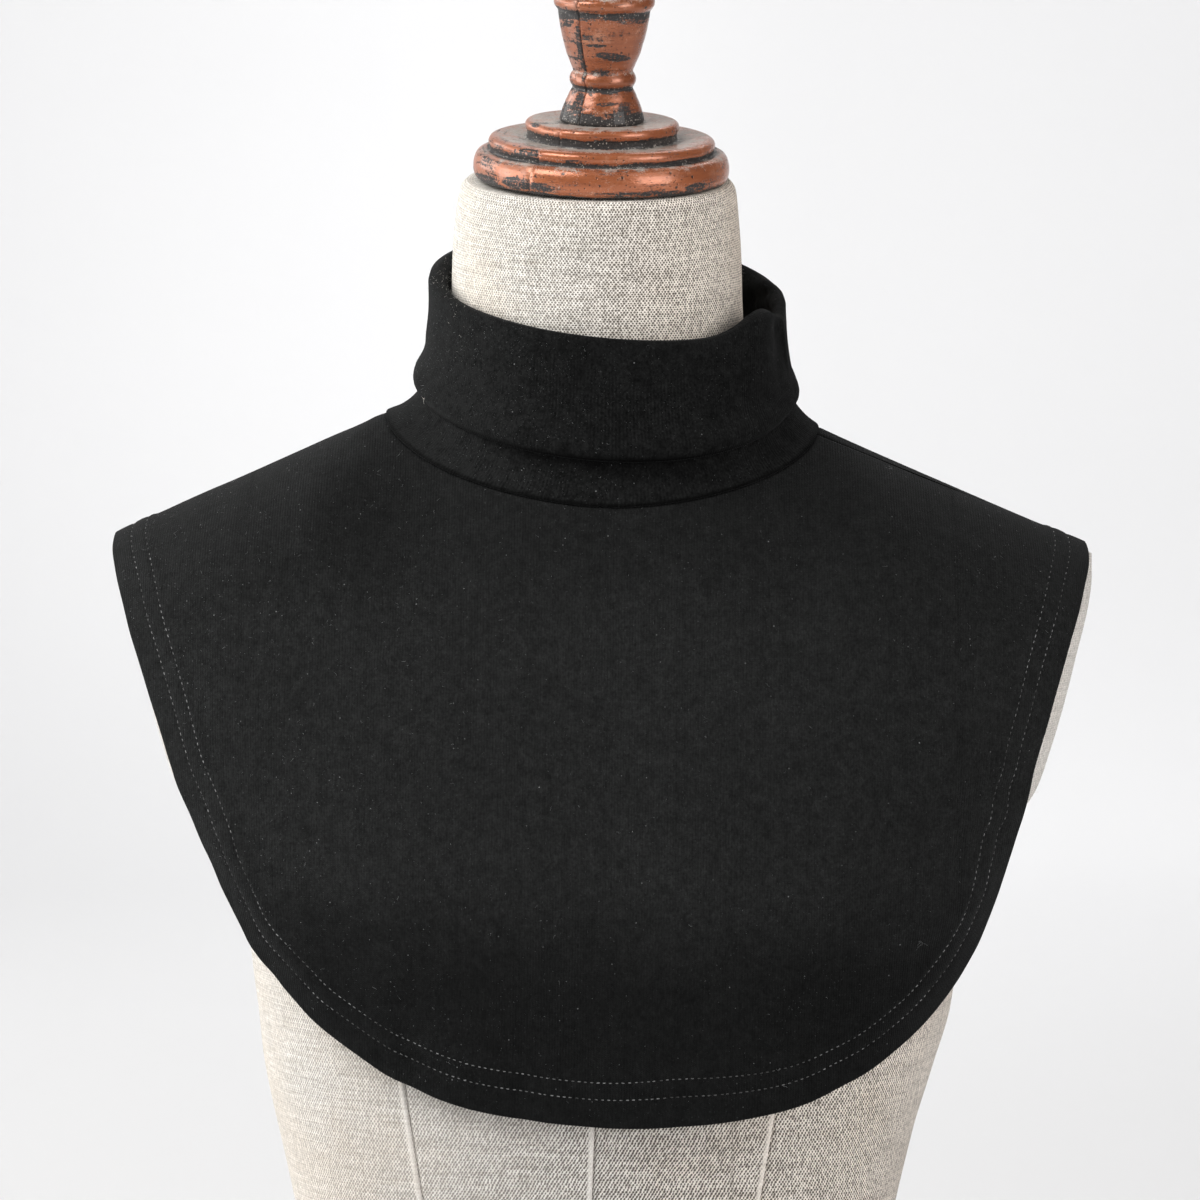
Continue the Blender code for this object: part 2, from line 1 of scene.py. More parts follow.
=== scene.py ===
"""Looks of the knitted turtleneck collar on its linen dress form.

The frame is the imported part.  The cloth is rebuilt as fine shells from the same sizes as the
solids, with its hems, seams, creases and stitching; the form's linen, the turned cap and the
finial get fine meshes of the same shapes.  Metres, +Z up, front towards -Y.
"""

import math

import bpy
import numpy as np
from mathutils import Matrix, Vector


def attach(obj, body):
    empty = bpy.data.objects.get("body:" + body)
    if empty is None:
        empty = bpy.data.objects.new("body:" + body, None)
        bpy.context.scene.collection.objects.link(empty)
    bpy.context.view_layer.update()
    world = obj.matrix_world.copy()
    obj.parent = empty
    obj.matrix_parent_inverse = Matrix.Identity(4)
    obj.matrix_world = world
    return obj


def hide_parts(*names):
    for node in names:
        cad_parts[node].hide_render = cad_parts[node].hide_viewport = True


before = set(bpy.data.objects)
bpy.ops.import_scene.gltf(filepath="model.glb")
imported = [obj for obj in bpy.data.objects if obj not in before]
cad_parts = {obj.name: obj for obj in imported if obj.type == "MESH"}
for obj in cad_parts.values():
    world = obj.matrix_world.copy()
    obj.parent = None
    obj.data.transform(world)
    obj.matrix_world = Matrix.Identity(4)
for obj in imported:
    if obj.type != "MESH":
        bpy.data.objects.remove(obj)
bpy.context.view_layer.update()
MM = 0.001

# ---------------------------------------------------------------- sizes shared with the part

COLLAR_WALL = 1.9 * MM
SEAM_GAP = 0.35 * MM
SEAT_GAP = 0.6 * MM
RIDGE_Y = 6 * MM
RIDGE_ROLL = 45 * MM
NECK_ROLL = (65 * MM, 22 * MM)
NECK_ROLL_X = (115 * MM, 45 * MM)
WRAP = 80 * MM
SECTION_POWER = 2.7
TIP_X = 196 * MM
TIP_Z = 411.6 * MM
SHOULDER_SLOPE = 0.439
SHOULDER_SKEW = 0.041
TIP_DROOP = 0.8 * MM
TIP_STRETCH = 26 * MM
FILLET_X = 90 * MM
FILLET_RATE = 6.0
NECKLINE_HALF = 85.5 * MM
NECKLINE_SHIFT = 0.3 * MM
NECKLINE_SWING = 5 * MM
NECKLINE_FRONT_Z = 428 * MM
NECKLINE_BACK_Z = 479 * MM
NECKLINE_POWER = 1.8
NECKLINE_BACK_RISE = 4.0
SEAM_AT_NECK = (15.5 * MM, -4 * MM)
SEAM_AT_TIP = (5 * MM, -2 * MM)
HEM_SWING = 15 * MM
HEM_SWING_POWER = 2.2
FRONT_HEM = (
    (0.1922, 0.4060), (0.1872, 0.3910), (0.1770, 0.3600), (0.1620, 0.3140), (0.1430, 0.2690),
    (0.1346, 0.2535), (0.1232, 0.2392), (0.1086, 0.2250), (0.0870, 0.2103), (0.0540, 0.1990),
    (0.0000, 0.1938),
)
BACK_HEM = (
    (0.1915, 0.4060), (0.1840, 0.3850), (0.1720, 0.3560), (0.1540, 0.3180), (0.1290, 0.2790),
    (0.0960, 0.2490), (0.0540, 0.2370), (0.0000, 0.2340),
)
CLOTH_SECTIONS = (                       # height, half width, front, back
    (0.190, 0.1390, 0.1095, 0.0780), (0.220, 0.1420, 0.1122, 0.0825),
    (0.250, 0.1540, 0.1138, 0.0865), (0.275, 0.1680, 0.1140, 0.0885),
    (0.310, 0.1860, 0.1093, 0.0902), (0.350, 0.2010, 0.0993, 0.0893),
    (0.390, 0.2060, 0.0862, 0.0836), (0.410, 0.2072, 0.0788, 0.0794),
    (0.428, 0.2080, 0.0708, 0.0745), (0.442, 0.2090, 0.0648, 0.0703),
    (0.455, 0.2090, 0.0604, 0.0668), (0.468, 0.2090, 0.0606, 0.0632),
    (0.480, 0.2100, 0.0608, 0.0592),
)
FORM_SECTIONS = (                        # height, half width, front, back, shift
    (0.000, 0.1320, 0.0930, 0.0860, 0.0000), (0.020, 0.1275, 0.0905, 0.0815, 0.0000),
    (0.045, 0.1195, 0.0860, 0.0720, 0.0000), (0.070, 0.1145, 0.0825, 0.0655, 0.0000),
    (0.095, 0.1130, 0.0820, 0.0625, 0.0000), (0.120, 0.1145, 0.0845, 0.0630, 0.0000),
    (0.152, 0.1212, 0.0930, 0.0665, 0.0000), (0.180, 0.1275, 0.1010, 0.0710, 0.0000),
    (0.205, 0.1338, 0.1065, 0.0748, 0.0010), (0.230, 0.1388, 0.1105, 0.0785, 0.0030),
    (0.255, 0.1420, 0.1118, 0.0820, 0.0030), (0.275, 0.1440, 0.1120, 0.0845, 0.0030),
    (0.290, 0.1480, 0.1105, 0.0862, 0.0030), (0.300, 0.1570, 0.1090, 0.0870, 0.0030),
    (0.308, 0.1665, 0.1078, 0.0876, 0.0030), (0.316, 0.1720, 0.1060, 0.0878, 0.0030),
    (0.330, 0.1770, 0.1030, 0.0880, 0.0030), (0.350, 0.1828, 0.0974, 0.0878, 0.0030),
    (0.370, 0.1877, 0.0914, 0.0860, 0.0030), (0.390, 0.1925, 0.0842, 0.0817, 0.0030),
    (0.400, 0.1938, 0.0796, 0.0788, 0.0030), (0.428, 0.1940, 0.0666, 0.0725, 0.0030),
    (0.442, 0.1940, 0.0610, 0.0683, 0.0030), (0.455, 0.1942, 0.0586, 0.0648, 0.0030),
    (0.468, 0.1940, 0.0590, 0.0612, 0.0030),
)
FORM_TOP_Z = 468 * MM
NECK_RINGS = (                           # x, y, height, half width, half depth, lean
    (0.0000, 0.0058, 0.4684, 0.0600, 0.0570, 0.0),
    (-0.0014, 0.0036, 0.4880, 0.0586, 0.0578, 3.0),
    (-0.0022, 0.0010, 0.5080, 0.0580, 0.0577, 6.0),
    (-0.0024, -0.0020, 0.5280, 0.0574, 0.0570, 8.5),
    (-0.0024, -0.0055, 0.5440, 0.0560, 0.0560, 10.5),
    (-0.0022, -0.0078, 0.5530, 0.0546, 0.0546, 11.3),
    (-0.0020, -0.0086, 0.5562, 0.0522, 0.0521, 11.3),
)
STAND_RINGS = (                          # half width, front y, back y, z front/side/back, lean
    (0.0706, -0.0620, 0.0668, 0.4520, 0.4800, 0.4975, 0.045),
    (0.0688, -0.0600, 0.0664, 0.4720, 0.4970, 0.5170, 0.060),
    (0.0676, -0.0580, 0.0662, 0.4916, 0.5117, 0.5355, 0.075),
)
FLAP_RINGS = (
    (0.0706, -0.0610, 0.0692, 0.4916, 0.5117, 0.5355, 0.075),
    (0.0713, -0.0624, 0.0702, 0.4740, 0.4985, 0.5190, 0.068),
    (0.0730, -0.0646, 0.0718, 0.4610, 0.4868, 0.5055, 0.056),
    (0.0752, -0.0672, 0.0738, 0.4535, 0.4778, 0.4965, 0.047),
    (0.0758, -0.0680, 0.0744, 0.4495, 0.4740, 0.4925, 0.045),
    (0.0750, -0.0674, 0.0738, 0.4470, 0.4710, 0.4895, 0.045),
)
COLLAR_SHIFT = 1.7 * MM
COLLAR_RADIUS = 69 * MM                   # that of its map
NECK_RADIUS = 57.8 * MM
FLAP_SHIFT = 1.05 * MM                    # the turned-down part hangs a little to the left
FOOT_BEND = (0.22, 0.34)
LEFT_BEND = (0.30, 0.30)
RIGHT_BEND = (0.06, 0.20)
FOOT_LIFT = 0.6 * MM
CAP_SEAT = Vector((-1.1 * MM, -8.6 * MM, 556.7 * MM))
CAP_LEAN = math.radians(11.3)
CAP_ROLL = math.radians(0.7)
CAP_PROFILE = (                          # radius, height, how dusty, how blackened
    (0.0000, 0.0000, 0.0, 0.0), (0.0492, 0.0000, 0.0, 0.8), (0.0502, 0.0010, 0.0, 0.45),
    (0.0508, 0.0030, 0.0, 0.22), (0.0508, 0.0060, 0.0, 0.0), (0.0501, 0.0088, 0.1, 0.0),
    (0.0488, 0.0106, 0.5, 0.1), (0.0470, 0.0112, 0.7, 0.2), (0.0456, 0.0110, 0.8, 0.3),
    (0.0445, 0.0108, 0.5, 0.9), (0.0443, 0.0120, 0.1, 0.9), (0.0448, 0.0131, 0.0, 0.38),
    (0.0450, 0.0146, 0.0, 0.0), (0.0444, 0.0159, 0.0, 0.0), (0.0430, 0.0167, 0.25, 0.0),
    (0.0412, 0.0168, 0.75, 0.0), (0.0340, 0.0162, 1.0, 0.1), (0.0303, 0.0159, 0.9, 0.5),
    (0.0297, 0.0163, 0.2, 1.0), (0.0297, 0.0186, 0.0, 1.0), (0.0301, 0.0193, 0.0, 0.5),
    (0.0306, 0.0207, 0.0, 0.0), (0.0304, 0.0221, 0.0, 0.0), (0.0295, 0.0230, 0.3, 0.0),
    (0.0280, 0.0232, 0.8, 0.0), (0.0210, 0.0229, 1.0, 0.0), (0.0172, 0.0228, 0.9, 0.4),
    (0.0150, 0.0228, 0.5, 0.8), (0.0000, 0.0228, 0.0, 0.0),
)
FINIAL_FOOT = 22.8 * MM
TURNING_GAP = 0.4 * MM
FINIAL_PROFILE = (
    (0.0000, 0.0000, 0.0, 0.0), (0.0163, 0.0000, 0.3, 1.0), (0.0167, 0.0008, 0.2, 1.0),
    (0.0163, 0.0026, 0.1, 0.9), (0.0159, 0.0038, 0.0, 0.5), (0.0156, 0.0052, 0.0, 0.34),
    (0.0150, 0.0066, 0.0, 0.30), (0.0144, 0.0082, 0.0, 0.18), (0.0136, 0.0098, 0.0, 0.0),
    (0.0130, 0.0114, 0.1, 0.0), (0.0121, 0.0128, 0.2, 0.4), (0.0117, 0.0137, 0.0, 1.0),
    (0.0121, 0.0144, 0.0, 0.6), (0.0128, 0.0154, 0.0, 0.1), (0.0131, 0.0165, 0.0, 0.0),
    (0.0130, 0.0178, 0.0, 0.0), (0.0125, 0.0190, 0.2, 0.0), (0.0117, 0.0199, 0.7, 0.4),
    (0.0119, 0.0209, 0.2, 0.4), (0.0126, 0.0224, 0.0, 0.1), (0.0132, 0.0240, 0.0, 0.0),
    (0.0146, 0.0272, 0.0, 0.0), (0.0154, 0.0304, 0.0, 0.0), (0.0163, 0.0335, 0.0, 0.0),
    (0.0170, 0.0367, 0.0, 0.10), (0.0175, 0.0397, 0.0, 0.10), (0.0178, 0.0414, 0.2, 0.30),
    (0.0180, 0.0428, 0.1, 0.48), (0.0181, 0.0441, 0.0, 1.0), (0.0188, 0.0449, 0.0, 0.3),
    (0.0197, 0.0462, 0.0, 0.0), (0.0199, 0.0476, 0.0, 0.0), (0.0196, 0.0490, 0.2, 0.0),
    (0.0182, 0.0502, 0.8, 0.1), (0.0120, 0.0525, 0.9, 0.3), (0.0098, 0.0558, 0.2, 0.7),
    (0.0108, 0.0606, 0.0, 0.2), (0.0136, 0.0648, 0.0, 0.0), (0.0146, 0.0700, 0.0, 0.0),
    (0.0133, 0.0756, 0.0, 0.0), (0.0094, 0.0801, 0.3, 0.0), (0.0000, 0.0821, 0.4, 0.0),
)
CAP_MARKS = (                            # degrees round, height mm, half degrees, half mm, slant mm
    (351.0, 3.4, 9.0, 3.0, 0.0), (80.5, 2.9, 8.0, 2.0, 0.0), (353.5, 14.7, 7.5, 2.2, 0.0),
    (50.0, 2.2, 24.0, 0.5, 0.1), (330.0, 22.6, 9.0, 0.9, 0.0), (28.0, 20.8, 2.2, 0.5, 0.2),
    (140.0, 4.0, 11.0, 1.6, 0.0), (205.0, 14.6, 9.0, 1.5, 0.0), (262.0, 3.0, 14.0, 1.8, 0.3),
)
FINIAL_MARKS = (
    (50.0, 27.2, 36.0, 1.9, -1.2), (22.0, 31.8, 19.0, 0.8, 0.2), (340.0, 41.0, 15.0, 3.4, 0.5),
    (357.0, 28.0, 5.5, 14.0, 0.0), (352.0, 7.0, 12.0, 8.0, 0.0), (322.0, 5.0, 32.0, 3.4, 0.5),
    (40.0, 8.6, 20.0, 0.8, 0.3), (70.0, 7.0, 16.0, 0.9, -0.2), (150.0, 30.0, 16.0, 1.6, 0.6),
    (235.0, 36.0, 18.0, 2.2, -0.5), (88.0, 46.6, 3.0, 0.7, 0.0), (30.0, 46.8, 2.2, 0.5, 0.0),
)

# ---------------------------------------------------------------- small numeric helpers


def column(rows, k, at):
    """Column k of a table against its first column, by the part's monotone cubic."""
    xs = [row[0] for row in rows]
    ys = [row[k] for row in rows]
    last = len(xs) - 1
    slopes = []
    for i in range(last + 1):
        sides = [(ys[m + 1] - ys[m]) / (xs[m + 1] - xs[m]) for m in (i - 1, i) if 0 <= m < last]
        if len(sides) == 1:
            slopes.append(sides[0])
        else:
            product = sides[0] * sides[1]
            slopes.append(2 * product / (sides[0] + sides[1]) if product > 0 else 0.0)
    fine = np.linspace(xs[0], xs[-1], 1601)
    i = np.clip(np.searchsorted(xs, fine, side="right") - 1, 0, last - 1)
    x0, y0, m = np.array(xs)[i], np.array(ys)[i], np.array(slopes)
    span = np.array(xs)[i + 1] - x0
    t = (fine - x0) / span
    values = (
        (1 + 2 * t) * (1 - t) ** 2 * y0 + t * (1 - t) ** 2 * span * m[i]
        + t * t * (3 - 2 * t) * np.array(ys)[i + 1] - t * t * (1 - t) * span * m[i + 1]
    )
    return np.interp(at, fine, values)


def smoothstep(low, high, at):
    t = np.clip((at - low) / (high - low), 0.0, 1.0)
    return t * t * (3 - 2 * t)


def smooth_mm(low, high, at):
    return smoothstep(low * MM, high * MM, at)


def bell(at, centre, width):
    """A soft hump, 1 at its centre, which is in millimetres like its width."""
    return np.exp(-((at - centre * MM) / (width * MM)) ** 2)


def spline(points, at):
    """Catmull-Rom through points, at places measured in point numbers."""
    points = np.asarray(points, float)
    padded = np.concatenate([2 * points[:1] - points[1:2], points, 2 * points[-1:] - points[-2:-1]])
    i = np.clip(np.floor(at).astype(int), 0, len(points) - 2)
    t = (at - i)
    t = t.reshape(t.shape + (1,) * (points.ndim - 1))
    a, b, c, d = padded[i], padded[i + 1], padded[i + 2], padded[i + 3]
    return 0.5 * (2 * b + (c - a) * t + (2 * a - 5 * b + 4 * c - d) * t ** 2
                  + (3 * b - a - 3 * c + d) * t ** 3)


def run_length(places):
    steps = np.linalg.norm(np.diff(places, axis=0), axis=1)
    return np.concatenate([[0.0], np.cumsum(steps)])


def resample(path, lift, shares):
    """Points of a path at shares of its length, measured where lift puts them."""
    run = run_length(lift(path))
    return np.stack([np.interp(shares * run[-1], run, path[:, k])
                     for k in range(path.shape[1])], axis=1)


def grid_normals(grid, outward):
    """Unit normals of a grid of points, turned to the side that outward points to."""
    du = np.gradient(grid, axis=0)
    dv = np.gradient(grid, axis=1)
    normal = np.cross(du, dv)
    normal /= np.maximum(np.linalg.norm(normal, axis=2, keepdims=True), 1e-12)
    flip = np.sign(np.sum(normal * outward, axis=2, keepdims=True))
    return normal * np.where(flip == 0, 1.0, flip)


# ---------------------------------------------------------------- the shape of the shoulders

SOFT_MIDDLE = 30 * MM


def shoulder_height(x, soft=False):
    """Height of the shoulders' ridge.  Its corner at x = 0 is rounded where soft is asked for."""
    out = np.abs(x)
    if soft:
        out = np.where(out < SOFT_MIDDLE, SOFT_MIDDLE / 2 + x * x / (2 * SOFT_MIDDLE), out)
    inside = np.maximum(0.0, FILLET_X - out)
    beyond = np.maximum(0.0, out - TIP_X + TIP_STRETCH) / TIP_STRETCH
    return (TIP_Z + SHOULDER_SLOPE * (TIP_X - out) - SHOULDER_SKEW * x * (1 - np.abs(x) / TIP_X)
            + FILLET_RATE * inside ** 2 - TIP_DROOP * beyond ** 2)


def roll_over(x, drop, front):
    near = smoothstep(0.0, 1.0, (NECK_ROLL_X[0] - np.abs(x)) / NECK_ROLL_X[1])
    height = RIDGE_ROLL + np.where(front, NECK_ROLL[0], NECK_ROLL[1]) * near
    t = np.clip(drop / height, 0.0, 1.0)
    return np.sqrt(1.0 - (1.0 - t) ** 2)


def across(x, half_width):
    share = 1.0 - np.minimum(np.abs(x) / half_width, 1.0) ** SECTION_POWER
    return np.maximum(0.0, share) ** (1 / SECTION_POWER)


def wrap_of(drop):
    return np.sqrt(np.maximum(0.0, (np.maximum(drop, 0.0) + WRAP) ** 2 - WRAP * WRAP))


def drop_of(wrap):
    return np.sqrt(wrap ** 2 + WRAP ** 2) - WRAP


def cloth_points(places):
    """Inner side of the cloth at (x, wrap); wrap is positive in front, negative behind."""
    x, wrap = places[..., 0], places[..., 1]
    drop = drop_of(wrap)
    height = shoulder_height(x) - drop
    front = wrap > 0.0
    depth = np.where(front, column(CLOTH_SECTIONS, 2, height), column(CLOTH_SECTIONS, 3, height))
    reach = depth * across(x, column(CLOTH_SECTIONS, 1, height)) * roll_over(x, drop, front)
    return np.stack([x, RIDGE_Y + np.where(front, -reach, reach), height], axis=-1)


def cloth_place(x, height, side):
    return np.stack([x, side * wrap_of(shoulder_height(x) - height)], axis=-1)


SAMPLES = 720


def neckline():
    angle = 2 * math.pi * np.arange(SAMPLES) / SAMPLES
    c, s = np.cos(angle), np.sin(angle)
    front = s >= 0.0
    x = NECKLINE_HALF * np.sign(c) * np.abs(c) ** (2 / NECKLINE_POWER)
    ends = shoulder_height(NECKLINE_SHIFT + np.where(c >= 0, NECKLINE_HALF, -NECKLINE_HALF))
    middle = 0.5 * (shoulder_height(NECKLINE_HALF) + shoulder_height(-NECKLINE_HALF))
    ends = middle + (ends - middle) * np.abs(c)
    power = np.where(front, 2 / NECKLINE_POWER, NECKLINE_BACK_RISE)
    share = np.abs(s) ** power
    x = x + NECKLINE_SHIFT + np.where(front, NECKLINE_SWING * s * s, 0.0)
    goal = np.where(front, NECKLINE_FRONT_Z, NECKLINE_BACK_Z)
    height = np.minimum(ends + (goal - ends) * share, shoulder_height(x))
    return cloth_place(x, height, np.where(front, 1.0, -1.0))


def neckline_parts():
    ring = neckline()
    places = cloth_points(ring)
    steps = np.linalg.norm(np.roll(places, -1, axis=0) - places, axis=1)
    half = SAMPLES // 2

    def cut(start, offset):
        k, run = start, 0.0
        step = 1 if offset > 0 else -1
        while run < abs(offset):
            run += steps[(k if step > 0 else k - 1) % SAMPLES]
            k += step
        return k

    right, left = cut(0, SEAM_AT_NECK[0]), cut(half, -SEAM_AT_NECK[1])
    front = ring[np.arange(right, left + 1) % SAMPLES]
    back = ring[np.arange(SAMPLES + right, left - 1, -1) % SAMPLES]
    return front, back


HEM_TRIM = (                              # height, outward at the garment's left, at its right, mm
    (0.1900, 0.0, 0.0), (0.1960, -1.6, 0.2), (0.2060, -2.3, 0.4), (0.2118, -1.4, 0.7),
    (0.2170, -0.5, 0.2), (0.2255, 1.0, 1.0), (0.2320, 1.8, 1.5), (0.2387, 2.0, 1.1),
    (0.2483, 2.2, 1.6), (0.2530, 2.1, 2.3), (0.2574, 2.0, 2.0), (0.2665, 1.6, 0.7),
    (0.2800, 0.9, 0.4), (0.2935, 0.6, -1.0), (0.3067, -0.1, -1.0), (0.3200, -0.7, -0.4),
    (0.3270, -1.2, -0.7), (0.3450, -0.5, -0.8), (0.3670, -0.3, -0.7), (0.3890, 0.0, -0.9),
    (0.4050, 0.0, -0.5), (0.4140, 0.0, 0.0),
)


def hem_path(rows, side):
    low = rows[-1][1]

    def outline(half_width, height, turn):
        fall = (TIP_Z - height) / (TIP_Z - low)
        swing = HEM_SWING * fall ** HEM_SWING_POWER if side > 0 else 0.0
        return turn * half_width + swing, height

    def tip(turn, wrap):
        x = turn * (TIP_X - 3 * MM)
        return x, float(shoulder_height(x) - drop_of(wrap))

    points = [tip(1, SEAM_AT_TIP[0])] + [outline(w, h, 1.0) for w, h in rows]
    points += [outline(w, h, -1.0) for w, h in rows[-2::-1]] + [tip(-1, SEAM_AT_TIP[1])]
    line = spline(points, np.linspace(0, len(points) - 1, SAMPLES + 1))
    if side > 0:
        heights = np.clip(line[:, 1], HEM_TRIM[0][0], HEM_TRIM[-1][0])
        middle = HEM_SWING * ((TIP_Z - line[:, 1]) / (TIP_Z - low)).clip(0, 1) ** HEM_SWING_POWER
        outward = np.tanh((line[:, 0] - middle) / (25 * MM))
        trim = np.where(outward > 0, column(HEM_TRIM, 1, heights), column(HEM_TRIM, 2, heights))
        line[:, 0] += outward * trim * MM
    path = cloth_place(line[:, 0], np.minimum(line[:, 1], shoulder_height(line[:, 0])), side)
    path[0, 1] = SEAM_AT_TIP[0]
    path[-1, 1] = SEAM_AT_TIP[1]
    return path


# Tables for the flat cut of the cloth: across the wales from the middle, and along them.
FLAT_X = np.linspace(-0.205, 0.205, 331)
FLAT_WRAP = np.linspace(0.0, 0.36, 361)
FLAT_Z = np.linspace(0.185, 0.400, 87)
FLAT_BOTTOM = 0.190


def flat_tables(side):
    places = np.stack(np.meshgrid(FLAT_X, side * FLAT_WRAP, indexing="ij"), axis=-1)
    fall = np.linalg.norm(np.diff(cloth_points(places), axis=1), axis=2)
    fall = np.concatenate([np.zeros((len(FLAT_X), 1)), np.cumsum(fall, axis=1)], axis=1)
    bottom = wrap_of(shoulder_height(FLAT_X) - FLAT_BOTTOM)
    whole = np.array([np.interp(w, FLAT_WRAP, row) for w, row in zip(bottom, fall)])
    depth = column(CLOTH_SECTIONS, 2 if side > 0 else 3, FLAT_Z)
    y = depth * across(FLAT_X[:, None], column(CLOTH_SECTIONS, 1, FLAT_Z)[None, :])
    out = np.hypot(FLAT_X[1] - FLAT_X[0], np.diff(y, axis=0))
    out = np.concatenate([np.zeros((1, len(FLAT_Z))), np.cumsum(out, axis=0)])
    return out - out[len(FLAT_X) // 2], fall, whole


def between(table, i, j):
    """A table read at places i, j between its rows and columns."""
    i0 = np.clip(i.astype(int), 0, table.shape[0] - 2)
    j0 = np.clip(j.astype(int), 0, table.shape[1] - 2)
    a, b = i - i0, j - j0
    return ((1 - a) * (1 - b) * table[i0, j0] + a * (1 - b) * table[i0 + 1, j0]
            + (1 - a) * b * table[i0, j0 + 1] + a * b * table[i0 + 1, j0 + 1])


def flat_place(places, side):
    """(u, v) on the flat cut of a bib at (x, wrap)."""
    out, fall, whole = flat_tables(side)
    x, wrap = places[..., 0], places[..., 1] * side
    height = np.clip(shoulder_height(x) - drop_of(wrap), FLAT_Z[0], FLAT_Z[-1])
    i = (x - FLAT_X[0]) / (FLAT_X[1] - FLAT_X[0])
    u = between(out, i, (height - FLAT_Z[0]) / (FLAT_Z[1] - FLAT_Z[0]))
    v = np.sign(wrap) * between(fall, i, np.abs(wrap) / (FLAT_WRAP[1] - FLAT_WRAP[0]))
    return np.stack([u, np.interp(x, FLAT_X, whole) - v], axis=-1)


# ---------------------------------------------------------------- creases

# Each is a soft trough (minus) or ridge (plus) between two places of the cloth, as x, height,
# with its reach to either side and its height in millimetres.
FRONT_CREASES = (
    # x0, z0, x1, z1, reach, height
    (0.082, 0.322, 0.078, 0.306, 11, -1.3), (-0.036, 0.322, -0.042, 0.310, 12, -0.8),
    (-0.012, 0.300, -0.008, 0.290, 11, -0.8), (0.114, 0.302, 0.122, 0.292, 10, -1.5),
    (-0.110, 0.304, -0.104, 0.290, 13, -1.2), (-0.071, 0.238, -0.069, 0.206, 6, -1.5),
    (-0.027, 0.220, -0.026, 0.196, 5, -1.1), (0.036, 0.238, 0.034, 0.196, 9, -0.9),
    (0.052, 0.252, 0.044, 0.232, 12, -0.8), (0.090, 0.226, 0.094, 0.206, 7, -0.9),
    (-0.048, 0.226, -0.047, 0.198, 7, 0.8), (0.004, 0.214, 0.004, 0.196, 8, 0.6),
    (0.158, 0.322, 0.146, 0.316, 5, -1.8), (0.152, 0.305, 0.138, 0.299, 5, -1.8),
    (0.158, 0.311, 0.146, 0.307, 4, 1.0), (0.146, 0.282, 0.132, 0.272, 8, 1.4),
    (-0.146, 0.300, -0.126, 0.276, 9, 1.6), (-0.120, 0.262, -0.104, 0.242, 7, 0.9),
    (-0.140, 0.258, -0.124, 0.248, 5, -1.2), (0.120, 0.422, 0.108, 0.408, 14, -1.0),
    (-0.138, 0.424, -0.120, 0.412, 13, -1.0), (-0.172, 0.372, -0.160, 0.350, 9, -0.9),
    (0.176, 0.372, 0.166, 0.344, 9, -0.8), (-0.098, 0.452, -0.086, 0.461, 3.2, 1.1),
    (-0.104, 0.447, -0.092, 0.455, 3.0, -0.7), (0.060, 0.415, 0.100, 0.360, 16, 0.5),
    (-0.050, 0.405, -0.090, 0.345, 18, 0.5), (-0.140, 0.438, -0.102, 0.455, 15, -0.75),
)
BACK_CREASES = (
    (0.070, 0.300, 0.064, 0.270, 11, -1.2), (-0.052, 0.296, -0.058, 0.262, 12, -1.1),
    (0.012, 0.276, 0.014, 0.240, 9, -0.9), (-0.100, 0.330, -0.092, 0.300, 12, -1.1),
    (0.118, 0.330, 0.126, 0.308, 9, 1.2), (-0.016, 0.262, -0.018, 0.238, 8, 0.7),
    (0.046, 0.460, 0.070, 0.430, 10, -0.9), (-0.052, 0.458, -0.078, 0.424, 11, -0.9),
    (0.000, 0.470, 0.004, 0.430, 13, 0.5), (-0.150, 0.372, -0.142, 0.345, 8, 0.9),
    (-0.140, 0.438, -0.102, 0.455, 15, -0.75),
)


def relief(points, creases):
    """Height of the creases at points on the cloth."""
    total = np.zeros(points.shape[:-1])
    x, z = points[..., 0], points[..., 2]
    for x0, z0, x1, z1, reach, height in creases:
        dx, dz = x1 - x0, z1 - z0
        t = np.clip(((x - x0) * dx + (z - z0) * dz) / (dx * dx + dz * dz), 0.0, 1.0)
        d2 = (x - x0 - t * dx) ** 2 + (z - z0 - t * dz) ** 2
        total += height * MM * np.exp(-d2 / (reach * MM) ** 2)
    return total


def unevenness(points, size, seed):
    """Slow, small waves that no machine-made cloth is free of, from -1 to 1."""
    rng = np.random.default_rng(seed)
    total = np.zeros(points.shape[:-1])
    for _ in range(9):
        direction = rng.normal(size=3)
        direction /= np.linalg.norm(direction) * size * rng.uniform(0.7, 1.6)
        total += np.sin(points @ direction * 2 * math.pi + rng.uniform(0, 2 * math.pi))
    return total / 5.0


# ---------------------------------------------------------------- mesh builders

def place_in_scene(name, data):
    placed = bpy.data.objects.new(name, data)
    bpy.context.scene.collection.objects.link(placed)
    return placed


def corner_points(piece):
    """The number of the point at each corner of each face."""
    index = np.empty(len(piece.data.loops), dtype=np.int32)
    piece.data.loops.foreach_get("vertex_index", index)
    return index


def write_map(piece, u, v):
    """A UV map from the values at the corners of the faces."""
    layer = piece.data.uv_layers.new(name="UVMap")
    layer.data.foreach_set("uv", np.stack([u, v], -1).astype(np.float32).ravel())


def write_round_map(piece, u, v, whole, caps=0):
    """A map of a closed ring.  Faces that cross its seam take its far end, a whole turn on."""
    index = corner_points(piece)
    corner_u = u.ravel()[index]
    body = sum(len(face.vertices) for face in list(piece.data.polygons)[-caps:]) if caps else 0
    block = corner_u[:len(index) - body].reshape(-1, 4)
    jump = block.max(axis=1) - block.min(axis=1) > whole / 2
    block[jump] = np.where(block[jump] < whole / 2, block[jump] + whole, block[jump])
    write_map(piece, corner_u, v.ravel()[index])


